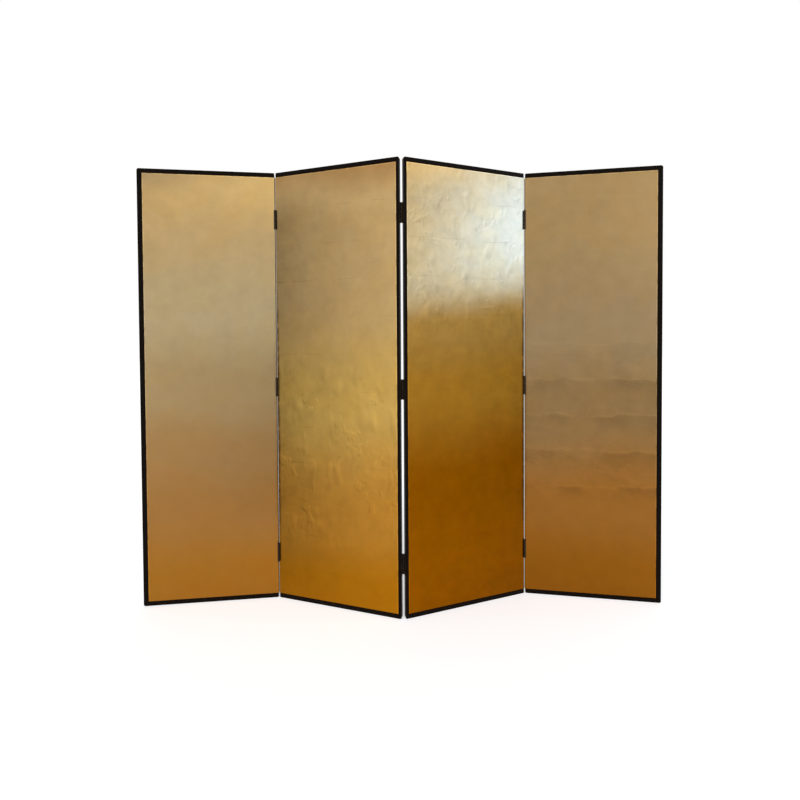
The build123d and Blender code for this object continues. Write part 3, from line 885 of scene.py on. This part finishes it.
# %% [markdown]
# Here the patterns come together. They add up to one shade, which the tone is multiplied by, so that a
# crease or a lap never changes the leaf's colour. The same patterns give the height for the bump and a
# little roughness.

# %% Light and dark in the leaf
LEAF_LIGHTNESS = 1.03  # of plain leaf against its tone
LEAF_SPREAD = 0.012  # from the darkest leaf to the lightest
SIDE_LAP_TONE = -0.025
PAINTED_RIM_HIGHLIGHT = 0.5
FOLD_FALL = 1.3  # how fast the shade towards the fold comes in: 1 is evenly


def leaf_shade(tree, place, panel, level):
    """How light the leaf is against its tone, how high it stands and how much duller it is."""
    laying = LAYING[panel.number]
    u, _, height = tree.parts(place)
    across, upright, above, chance = leaf_laps(tree, place, panel)
    low, high = laying["from_height"], laying["to_height"]
    zone = height.rise(low - 0.1, low + 0.06) * height.rise(high + 0.1, high - 0.06)
    clusters = tree.noise(place, 12.0, detail=2.0).rise(0.52, 0.6) * zone
    folds_in_leaf = creases(tree, place, laying["folds"], 0.3, panel.number * 7.0) * (zone * 0.8 + 0.2)
    strokes = creases(tree, place, laying["strokes"], 0.14, panel.number * 3.0) * clusters
    blotches = tree.noise(place, 17.0, detail=4.0, roughness=0.62)
    # painted shade: the leaf darkens towards the fold
    darkest, foot, top = FOLD_PAINTED_SHADE[panel.number]
    to_fold = tree.maths("POWER", 1.0 - u / panel.paper_width, FOLD_FALL)
    painted_fold_shade = to_fold * darkest * level.rise(*foot) * level.rise(*top)
    shade = LEAF_LIGHTNESS + (chance - 0.5) * LEAF_SPREAD + upright * SIDE_LAP_TONE - painted_fold_shade
    shade = shade + (blotches - 0.5) * laying["blotch_tone"] * (zone * 0.3 + 0.7)
    # painted shade under each lap, and on the fourth panel a painted highlight along the lap
    sag_shadow = above * zone * tree.noise(place, 7.0, detail=1.0).rise(0.3, 0.6)
    lapping = across * (zone * (1.0 - laying["lap_beyond"]) + laying["lap_beyond"])
    shade = shade + lapping * laying["lap_line_and_highlight"] + sag_shadow * laying["sag_painted_shade"]
    # painted light and shade on the flanks of folds and strokes
    shade = shade + folds_in_leaf * laying["fold_light_and_shade"] + strokes * laying["stroke_light_and_shade"]
    # painted highlight along the bars
    shade = shade + painted_rim_of(tree, u, height, panel) * tree.noise(place, 24.0).rise(0.36, 0.54) * PAINTED_RIM_HIGHLIGHT
    grain = tree.noise(place, 420.0, detail=3.0)
    relief = blotches * laying["crumple"] + grain * 0.06 + folds_in_leaf * 0.5
    relief = relief + strokes * 0.5 + lapping * 0.15
    return shade, relief, (blotches - 0.5) * 0.12 + lapping * 0.05


print(f"leaves differ by {LEAF_SPREAD:.1%}")

# %% [markdown]
# The finish is nearly all metal. A thin patch of leaf is warmer, because the ground shows through, and
# where the leaf is gone, and in the painted fold shadow, there is only dull brown size, so that part isn't
# metal at all.

# %% The gilded finish
LEAF_ROUGHNESS = 0.3
LEAF_METAL = 0.97
LEAF_RELIEF = 0.2 * MM
SIZE_BROWN = tone(70, 42, 16)  # the size that shows where the leaf is gone, and the colour of the painted fold shadow
SIZE_DULLNESS = 0.62  # how much rougher that is than the leaf
THIN_LEAF = (1.04, 0.97, 0.8, 1.0)  # what a thinner patch of leaf does to the tone
RAMP_CLOUD = 0.1  # of the panel's height, how far a tone drifts up and down


def gilding(panel):
    """Gold leaf for one panel."""
    material, tree, shader = new_finish(f"gold_leaf_{panel.number}", {"Specular IOR Level": 0.0})
    place = unlike(tree, own_place(tree, panel), panel)
    u, _, height = tree.parts(place)
    cloud = tree.noise(place, 2.2, detail=3.0)
    across = u / panel.paper_width
    level = height / SCREEN_HEIGHT + (cloud - 0.5) * RAMP_CLOUD
    level = level + (across - 0.5) * RAMP_LEAN[panel.number]
    stops = {"stops": LEAF_TONE_AND_REFLECTION_RAMPS[panel.number]}
    colour = tree.add("ShaderNodeValToRGB", stops, {"Fac": level}, out="Color")
    # painted highlight towards the fold near the top
    if panel.number in FOLD_PAINTED_HIGHLIGHT:
        highlight_tone, where = FOLD_PAINTED_HIGHLIGHT[panel.number]
        colour = tree.mix((1.0 - across) * level.rise(*where), colour, highlight_tone)
    shade, relief, dulling = leaf_shade(tree, place, panel, level)
    toned = tree.mix(1.0, colour, tree.vector(shade, shade, shade), "MULTIPLY")
    thin = tree.noise(place, 9.0, detail=3.0).rise(0.42, 0.62) * LAYING[panel.number]["warming"]
    toned = tree.mix(thin, toned, THIN_LEAF, "MULTIPLY")
    bare_size_and_shadow = edge_and_fold_shadow(tree, place, u, panel, level)
    varying = {
        "Base Color": tree.mix(bare_size_and_shadow, toned, SIZE_BROWN),
        "Roughness": dulling + bare_size_and_shadow * SIZE_DULLNESS + LEAF_ROUGHNESS,
        "Metallic": LEAF_METAL - bare_size_and_shadow * LEAF_METAL,
        "Normal": bump(tree, relief, LEAF_RELIEF),
    }
    join_up(tree, shader, varying)
    return material


for panel in PANELS:
    panel.gold = gilding(panel)
print("gilded finishes made")

# %% [markdown]
# The sag, the cockles and the ripples of a real skin are well under a millimetre, and so are these: the
# metal shows them all the same. The fourth panel's paper ripples the most.

# %% Make the gilded papers
BAY_SAG = 0.1 * MM
COCKLE_HEIGHT = 0.5 * MM
RIPPLE_HEIGHT = {1: 0.02 * MM, 2: 0.03 * MM, 3: 0.03 * MM, 4: 0.1 * MM}
PANEL_SEED = 11.0
BACK_SEED = 3.0


def make_paper(panel, kind, ring, step, finish, outer, seats=()):
    """One paper skin of a panel, cockled and put in its node's place."""
    heights = evenly(RAIL_FACE, SCREEN_HEIGHT - RAIL_FACE, step)
    base = shell(kind, ring, heights, outer)
    values = {
        **bay_inputs(panel),
        "Bay Sag": BAY_SAG,
        "Cockle Height": COCKLE_HEIGHT,
        "Ripple Height": RIPPLE_HEIGHT[panel.number],
        "Seed": PANEL_SEED * panel.number + (BACK_SEED if outer > 0 else 0.0),
        "Finish": finish,
    }
    mesh = run_group(COCKLED_PAPER, base, values)
    if seats:
        mesh = cut_away(mesh, hinge_seats(seats))
    panel.set_down(mesh)
    add_piece(f"{panel.name}_{kind}", mesh, panel.name, [f"{panel.name}_{kind}"])


for panel in PANELS:
    ring = gilded_ring(panel.paper_width)
    seats = HINGE_HEIGHTS["left_fold" if panel.number < 3 else "right_fold"]
    make_paper(panel, "front_paper", ring, GILDED_STEP, panel.gold, -PAPER_FACE, seats)

# %% [markdown]
# ## The backing
# The backs are covered in a muted green-grey mulberry paper, pasted on in sheets with narrow laps. It
# is quite matt. What makes it paper is its long stray fibres, a cloudy thickness, and some foxing near
# the edges.

# %% The backing paper's finish
BACKING = tone(98, 104, 90)
BACKING_PALE = tone(115, 120, 104)
FIBRE = tone(160, 160, 138)
FOXING = tone(104, 84, 58)
SHEET_HEIGHT = 430 * MM
SHEET_LAP = 9 * MM
SHEET_SHIFT = 0.13  # of a sheet, from one panel's laps to the next one's
FIBRE_WIDTH = 0.006
FOXED_MARGIN = 160 * MM
BACKING_RELIEF = 0.15 * MM


def thin_lines(value, width):
    """1 along the lines where a noise crosses its middle, 0 elsewhere."""
    return abs(value - 0.5).rise(width, 0.0)


def backing(panel):
    """Mulberry paper for one panel."""
    material, tree, shader = new_finish(f"backing_paper_{panel.number}", {"Specular IOR Level": 0.25})
    place = unlike(tree, own_place(tree, panel), panel)
    u, depth, height = tree.parts(place)
    cloud = tree.noise(place, 7.0, detail=5.0, roughness=0.62)
    pulp = tree.noise(place, 90.0, detail=3.0)
    colour = tree.mix(cloud.rise(0.3, 0.7), BACKING, BACKING_PALE)
    bend = (tree.noise(place, 30.0, detail=1.0) - 0.5) * 0.03
    leaning = tree.vector((u + bend) * 150.0, depth, (height + bend) * 19.0)
    lying = tree.vector((u + bend) * 17.0, depth + 3.0, (height - bend) * 160.0)
    fibres = thin_lines(tree.noise(leaning, 1.0, detail=0.0), FIBRE_WIDTH)
    fibres = fibres + thin_lines(tree.noise(lying, 1.0, detail=0.0), FIBRE_WIDTH)
    fibres = fibres * tree.noise(place, 40.0).rise(0.5, 0.62)
    colour = tree.mix(fibres * 0.45, colour, FIBRE)
    half = panel.paper_width / 2
    from_edge = tree.maths("MINIMUM", half - abs(u - half), height)
    spots = tree.noise(place, 46.0, detail=1.0).rise(0.66, 0.74) * from_edge.rise(FOXED_MARGIN, 0.0)
    colour = tree.mix(spots * 0.4, colour, FOXING)
    sheet = tree.maths("FRACT", height / SHEET_HEIGHT + SHEET_SHIFT * panel.number)
    lap = sheet.rise(SHEET_LAP / SHEET_HEIGHT, SHEET_LAP / SHEET_HEIGHT - 0.003)
    colour = tree.mix(lap * 0.5, colour, BACKING)
    rough = 0.82 + (pulp - 0.5) * 0.12 - fibres * 0.1
    relief = pulp * 0.3 + fibres * 0.35 + lap * 0.6 + cloud * 0.5
    varying = {"Base Color": colour, "Roughness": rough, "Normal": bump(tree, relief, BACKING_RELIEF)}
    join_up(tree, shader, varying)
    return material


print(f"backing sheets {SHEET_HEIGHT / MM:g} mm tall")

# %% [markdown]
# The backing's skin is made as the gilded one is, on a coarser grid, because matt paper hides more. It
# has no seats to cut: the leaves let into the fold edges stop just short of it.

# %% Make the backing papers
BACKING_STEP = 8 * MM
for panel in PANELS:
    face = [(u, PAPER_FACE) for u in evenly(-FOLD_SWELL, panel.paper_width, BACKING_STEP)]
    ring = [(-FOLD_SWELL, PAPER_BACK), (panel.paper_width, PAPER_BACK)] + face[::-1]
    make_paper(panel, "back_paper", ring, BACKING_STEP, backing(panel), PAPER_FACE)

# %% [markdown]
# ## Black lacquer
# The bars are soft wood under many thin coats of black lacquer, rubbed down and polished. The node's
# shape is right, down to its eased edges, so it only needs its finish. Lacquer is deep rather than
# dark: a near black body under a clear gloss. The polish is not quite even, fine dust lies in it, and
# where hands and floors have rubbed the outer edges it has gone brown and dull.

# %% The lacquer finish
LACQUER = tone(15, 8, 3)
LACQUER_WORN = tone(74, 46, 26)
DUST = tone(92, 88, 80)
WORN_EDGE = 0.9 * MM
SCUFFED_FOOT = 30 * MM
LACQUER_RELIEF = 0.05 * MM


def reaches(value, end):
    """1 on the last bit before a bar's outer edge, which lies at end."""
    return value.rise(end - WORN_EDGE, end - 0.3 * WORN_EDGE)


def lacquer(panel):
    """Black lacquer for one panel's bars."""
    constants = {"Specular IOR Level": 0.03, "Coat Roughness": 0.08, "Coat IOR": 1.3}
    material, tree, shader = new_finish(f"black_lacquer_{panel.number}", constants)
    place = own_place(tree, panel)
    u, depth, height = tree.parts(place)
    place = unlike(tree, place, panel)
    front_or_back = reaches(abs(depth), FRAME_DEPTH / 2)
    outer = tree.maths("MAXIMUM", reaches(u, PANEL_WIDTH), height.rise(WORN_EDGE, 0.0))
    outer = tree.maths("MAXIMUM", outer, reaches(height, SCREEN_HEIGHT))
    patchy = tree.noise(place, 26.0, detail=4.0, roughness=0.65)
    worn = front_or_back * outer * patchy.rise(0.52, 0.62)
    scuffed = height.rise(SCUFFED_FOOT, 0.0) * tree.noise(place, 160.0, detail=3.0).rise(0.6, 0.66)
    colour = tree.mix(tree.maths("MAXIMUM", worn, scuffed * 0.5), LACQUER, LACQUER_WORN)
    dust = tree.noise(place, 900.0, detail=1.0).rise(0.7, 0.78) * patchy.rise(0.4, 0.7)
    colour = tree.mix(dust * 0.25, colour, DUST)
    rubbing = tree.noise(tree.vector(u * 8.0, depth * 60.0, height * 8.0), 12.0, detail=4.0)
    rough = 0.2 + (rubbing - 0.5) * 0.16 + worn * 0.35 + scuffed * 0.3
    relief = tree.noise(place, 60.0, detail=2.0) * 0.6 + rubbing * 0.2 - worn * 0.3
    varying = {
        "Base Color": colour,
        "Roughness": rough,
        "Coat Weight": 0.08 - worn * 0.06 - scuffed * 0.05,
        "Normal": bump(tree, relief, LACQUER_RELIEF),
    }
    join_up(tree, shader, varying)
    return material


def dress(node, material):
    """Give a CAD node a finish in place of its plain one."""
    mesh = frame["nodes"][node].data
    mesh.materials.clear()
    mesh.materials.append(material)


STILES = {1: "end_stile", 2: "meeting_stile", 3: "meeting_stile", 4: "end_stile"}
for panel in PANELS:
    black = lacquer(panel)
    for bar in ("top_rail", "bottom_rail", STILES[panel.number]):
        dress(f"{panel.name}_{bar}", black)
print(f"lacquer on {3 * len(PANELS)} bars")

# %% [markdown]
# ## Inside a panel
# Between the papers is a frame of four cedar bars and a lattice of thin ribs, and nails without heads
# hold the lacquered bars to it. None of it shows on a whole screen, but someone may take a panel apart
# on a bench, so it gets an honest finish as well.

# %% Cedar and nail wire
EARLY_WOOD = tone(208, 168, 122)
LATE_WOOD = tone(176, 122, 78)
PORE = tone(140, 92, 58)
RINGS = 7.0
CEDAR_RELIEF = 0.06 * MM
WIRE_BRIGHT = tone(168, 166, 162)
WIRE_STAINED = tone(112, 96, 84)


def cedar(panel):
    """Planed cedar for one panel's core, with its grain running up the panel."""
    material, tree, shader = new_finish(f"cedar_{panel.number}", {"Specular IOR Level": 0.3})
    place = unlike(tree, own_place(tree, panel), panel)
    u, depth, height = tree.parts(place)
    along = tree.vector(u * 60.0, depth * 90.0, height * 3.0)
    rings = tree.maths("FRACT", tree.noise(along, 1.0, detail=2.0) * RINGS)
    pores = tree.noise(tree.vector(u * 900.0, depth * 900.0, height * 30.0), 1.0, detail=2.0)
    colour = tree.mix(rings.rise(0.2, 0.95), EARLY_WOOD, LATE_WOOD)
    colour = tree.mix(pores.rise(0.55, 0.75) * 0.35, colour, PORE)
    rough = 0.62 + (pores - 0.5) * 0.2
    varying = {"Base Color": colour, "Roughness": rough, "Normal": bump(tree, pores, CEDAR_RELIEF)}
    join_up(tree, shader, varying)
    return material


def nail_wire():
    """Drawn steel wire, a little stained."""
    material, tree, shader = new_finish("nail_wire", {"Metallic": 1.0})
    place = tree.add("ShaderNodeTexCoord", None, None, out="Object")
    stain = tree.noise(place, 300.0, detail=3.0)
    colour = tree.mix(stain.rise(0.45, 0.7), WIRE_BRIGHT, WIRE_STAINED)
    join_up(tree, shader, {"Base Color": colour, "Roughness": 0.3 + stain * 0.25})
    return material


wire = nail_wire()
for panel in PANELS:
    wood = cedar(panel)
    dress(f"{panel.name}_core_frame", wood)
    dress(f"{panel.name}_core_lattice", wood)
    dress(f"{panel.name}_frame_nails", wire)
print("cores and nails dressed")

# %% [markdown]
# ## The hinges
# Nine iron butt hinges are black japanned: a thin baked black with a trace of brown. The knuckles rub
# and the pin heads get touched, so bare brown metal shows there. That is a mask from the distance to the
# fold's pin, broken up by noise, and one finish serves all the leaves and pins of a fold.

# %% Japanned metal
JAPAN = tone(26, 18, 10)
JAPAN_THIN = tone(44, 32, 18)
BARE_IRON = tone(92, 80, 62)
RUBBED_DEPTH = 0.6 * MM  # how far out from the barrel the rubbing reaches
JAPAN_RELIEF = 0.03 * MM


def japanned(fold):
    """Black japan for one fold's hinges, rubbed where the knuckles are."""
    material, tree, shader = new_finish(f"japanned_{fold}", {"Specular IOR Level": 0.2})
    row = tree.add("ShaderNodeTexCoord", None, None, out="Object")
    pin = Vector((*folds[fold]["pos_m"][:2], 0))
    place = tree.add("ShaderNodeMapping", {"vector_type": "TEXTURE"}, {"Vector": row, "Location": pin})
    x, y, _ = tree.parts(place)
    from_pin = tree.maths("SQRT", x * x + y * y)
    patch = tree.noise(place, 170.0, detail=4.0, roughness=0.6)
    rubbed = from_pin.rise(BARREL_RADIUS + RUBBED_DEPTH, BARREL_RADIUS) * patch.rise(0.54, 0.72)
    colour = tree.mix(tree.noise(place, 60.0, detail=2.0), JAPAN, JAPAN_THIN)
    colour = tree.mix(rubbed * 0.7, colour, BARE_IRON)
    rough = 0.42 + (patch - 0.5) * 0.25 - rubbed * 0.08
    relief = tree.noise(place, 500.0, detail=2.0) * 0.6 - rubbed * 0.4
    varying = {
        "Base Color": colour,
        "Roughness": rough,
        "Metallic": rubbed * 0.9,
        "Normal": bump(tree, relief, JAPAN_RELIEF),
    }
    join_up(tree, shader, varying)
    return material


FOLD_PANELS = {"left_fold": (2, 1), "middle_fold": (2, 3), "right_fold": (3, 4)}  # pins ride on the first
japan = {fold: japanned(fold) for fold in FOLD_PANELS}
print(f"{len(japan)} japanned finishes")

# %% [markdown]
# The nodes have every hole and knuckle but their edges are knife sharp, and real stampings have a small
# round that catches the light. A shader can fake a round, but an exported mesh would lose it. So each
# leaf is a copy of its node, merged and cleaned to flat faces, with a bevel on its sharp edges.

# %% Ease the hinge leaves' edges
EASED = 0.18 * MM
EASED_FROM = radians(40)
FLAT_WITHIN = radians(0.5)
DOUBLES_WITHIN = 0.002 * MM
LEVELS = ("top", "centre", "bottom")


def eased_copy(node, material):
    """A node's mesh with its doubles merged, flat faces made whole and sharp edges rounded."""
    mesh = frame["nodes"][node].data.copy()
    work = bmesh.new()
    work.from_mesh(mesh)
    bmesh.ops.remove_doubles(work, verts=work.verts, dist=DOUBLES_WITHIN)
    bmesh.ops.dissolve_limit(work, angle_limit=FLAT_WITHIN, verts=work.verts, edges=work.edges)
    work.to_mesh(mesh)
    work.free()
    mesh.materials.clear()
    mesh.materials.append(material)
    holder = put_in_scene("holder", mesh)
    bevel = holder.modifiers.new("ease", "BEVEL")
    bevel.width = EASED
    bevel.segments = 2
    bevel.limit_method = "ANGLE"
    bevel.angle_limit = EASED_FROM
    made = plain_copy(holder)
    bpy.data.objects.remove(holder)
    return made


for fold, (pin_panel, other_panel) in FOLD_PANELS.items():
    for level in LEVELS:
        for number in (pin_panel, other_panel):
            node = f"{fold}_{level}_hinge_leaf_panel_{number}"
            add_piece(node, eased_copy(node, japan[fold]), f"panel_{number}", [node])
    dress(f"{fold}_hinge_pins", japan[fold])

# %% [markdown]
# ## The screws
# Each leaf has three slotted countersunk screws. One screw is modelled in mesh code by turning its
# outline, and its slot is cut by the same Boolean as the hinge seats.

# %% One slotted screw
SCREW_HEAD = 2.8 * MM  # radius
SCREW_SHANK = 1.4 * MM  # radius
HEAD_EDGE = 0.12 * MM  # from the head's face to its widest
HEAD_ROUND = 0.15 * MM
SCREW_WELD = 0.001 * MM
SCREW_LENGTH = 12 * MM
SCREW_POINT = 2.5 * MM
SLOT_WIDTH = 0.8 * MM
SLOT_DEPTH = 0.6 * MM
SCREW_SIDES = 24


def one_screw():
    """A screw with its head's face at the origin and its point along +Z."""
    head_depth = SCREW_HEAD - SCREW_SHANK
    outline = [
        (0, 0),
        (SCREW_HEAD - HEAD_ROUND, 0),
        (SCREW_HEAD, HEAD_EDGE),
        (SCREW_SHANK, head_depth + HEAD_EDGE),
        (SCREW_SHANK, SCREW_LENGTH - SCREW_POINT),
        (0, SCREW_LENGTH),
    ]
    work = bmesh.new()
    points = [work.verts.new((radius, 0, z)) for radius, z in outline]
    edges = [work.edges.new(pair) for pair in zip(points, points[1:])]
    turn = {"axis": (0, 0, 1), "cent": (0, 0, 0), "angle": 2 * pi, "steps": SCREW_SIDES}
    bmesh.ops.spin(work, geom=points + edges, **turn)
    bmesh.ops.remove_doubles(work, verts=work.verts, dist=SCREW_WELD)
    bmesh.ops.recalc_face_normals(work, faces=work.faces)
    mesh = bpy.data.meshes.new("one_screw")
    work.to_mesh(mesh)
    work.free()
    return mesh


slot_end = Vector((1.5 * SCREW_HEAD, SLOT_WIDTH / 2, SLOT_DEPTH))
screw_mesh = cut_away(one_screw(), boxes("slot", [(-slot_end, slot_end)]))
print(f"screw of {len(screw_mesh.polygons)} faces")

# %% [markdown]
# Geometry Nodes set a copy of the screw on every point of a base mesh, whose attributes say which way a
# screw faces and how far its slot ended up turned. A loop could place copies too, but with a tree there
# is one screw and one rule for all of them.

# %% The tree that sets screws
SCREW_INPUTS = [
    ("Geometry", "NodeSocketGeometry"),
    ("Screw", "NodeSocketObject"),
    ("Size", "NodeSocketFloat"),
    ("Finish", "NodeSocketMaterial"),
]


def screw_group():
    """Sets a screw on every point of a mesh, along facing and turned by slot_turn."""
    group, tree, given = new_group("set_screws", SCREW_INPUTS)
    facing = carried(tree, "facing", "FLOAT_VECTOR")
    slot_turn = carried(tree, "slot_turn", "FLOAT")
    aimed = tree.add("FunctionNodeAlignRotationToVector", {"axis": "Z"}, {"Vector": facing})
    spin = tree.add("FunctionNodeAxisAngleToRotation", None, {"Axis": (0, 0, 1), "Angle": slot_turn})
    both = {"Rotation": aimed, "Rotate By": spin}
    rotation = tree.add("FunctionNodeRotateRotation", {"rotation_space": "LOCAL"}, both)
    as_modelled = {"transform_space": "ORIGINAL"}
    screw = tree.add("GeometryNodeObjectInfo", as_modelled, {"Object": given["Screw"]}, out="Geometry")
    points = tree.add("GeometryNodeMeshToPoints", {"mode": "VERTICES"}, {"Mesh": given["Geometry"]})
    size = tree.vector(given["Size"], given["Size"], given["Size"])
    placing = {"Points": points, "Instance": screw, "Rotation": rotation, "Scale": size}
    placed = tree.add("GeometryNodeInstanceOnPoints", None, placing)
    close_group(tree, placed, given["Finish"])
    return group


SET_SCREWS = screw_group()
print(f"tree with {len(SET_SCREWS.nodes)} nodes")

# %% [markdown]
# The points follow from the hinges: three to a leaf, with the middle one nearer the pin. Each slot stops
# at an angle of its own, drawn with a fixed seed so that it comes out the same every time.

# %% Where the screws go
LEAF_COVER = 12.1 * MM
SCREW_PITCH = 26 * MM
SCREW_STAGGER = 1.5 * MM
SLOT_SEED = 5


def screw_seats(panel, fold):
    """(place, direction into the panel) of each screw of a fold's leaves on a panel."""
    middle = BARREL_RADIUS + LEAF_COVER / 2
    seats = []
    for height in HINGE_HEIGHTS[fold]:
        for i in (-1, 0, 1):
            off = middle + (SCREW_STAGGER if i else -SCREW_STAGGER)
            if fold == "middle_fold":
                u, depth, way = PANEL_WIDTH + LEAF_THICKNESS, FRAME_DEPTH / 2 + BARREL_RADIUS - off, -1
            else:
                u, depth, way = 0, -PAPER_FACE - BARREL_RADIUS + off, 1
            z = height - way * i * SCREW_PITCH
            into = panel.place.to_3x3() @ Vector((way, 0, 0))
            seats.append((panel.point(u, depth, z), into))
    return seats


def screw_base(seats, chance):
    """A mesh of loose points that carry each screw's direction and slot turn."""
    mesh = bpy.data.meshes.new("screw_places")
    mesh.from_pydata([place for place, _ in seats], [], [])
    facing = mesh.attributes.new("facing", "FLOAT_VECTOR", "POINT")
    facing.data.foreach_set("vector", [v for _, into in seats for v in into])
    slot_turn = mesh.attributes.new("slot_turn", "FLOAT", "POINT")
    slot_turn.data.foreach_set("value", chance.uniform(0, pi, len(seats)))
    return mesh


blackened = japanned("middle_fold")  # no screw is near enough to that pin to look rubbed
blackened.name = "blackened_screws"
one = put_in_scene("one_screw", screw_mesh)
for panel in PANELS:
    own_folds = [fold for fold, pair in FOLD_PANELS.items() if panel.number in pair]
    seats = [seat for fold in own_folds for seat in screw_seats(panel, fold)]
    base = screw_base(seats, np.random.default_rng(SLOT_SEED + panel.number))
    values = {"Screw": one, "Size": 1.0, "Finish": blackened}
    mesh = run_group(SET_SCREWS, base, values)
    nodes = [f"{fold}_screws_{panel.name}" for fold in own_folds]
    add_piece(f"{panel.name}_hinge_screws", mesh, panel.name, nodes)
bpy.data.objects.remove(one)

# %% [markdown]
# ## Measure
# The visual box is measured against the frame's, and how much it grew is printed.

# %% Measure the sizes
visual_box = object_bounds()
grown = [round((v - c) / MM, 3) for v, c in zip(visual_box[1] - visual_box[0], cad_box[1] - cad_box[0])]
print(f"visual box grew by {grown} mm")
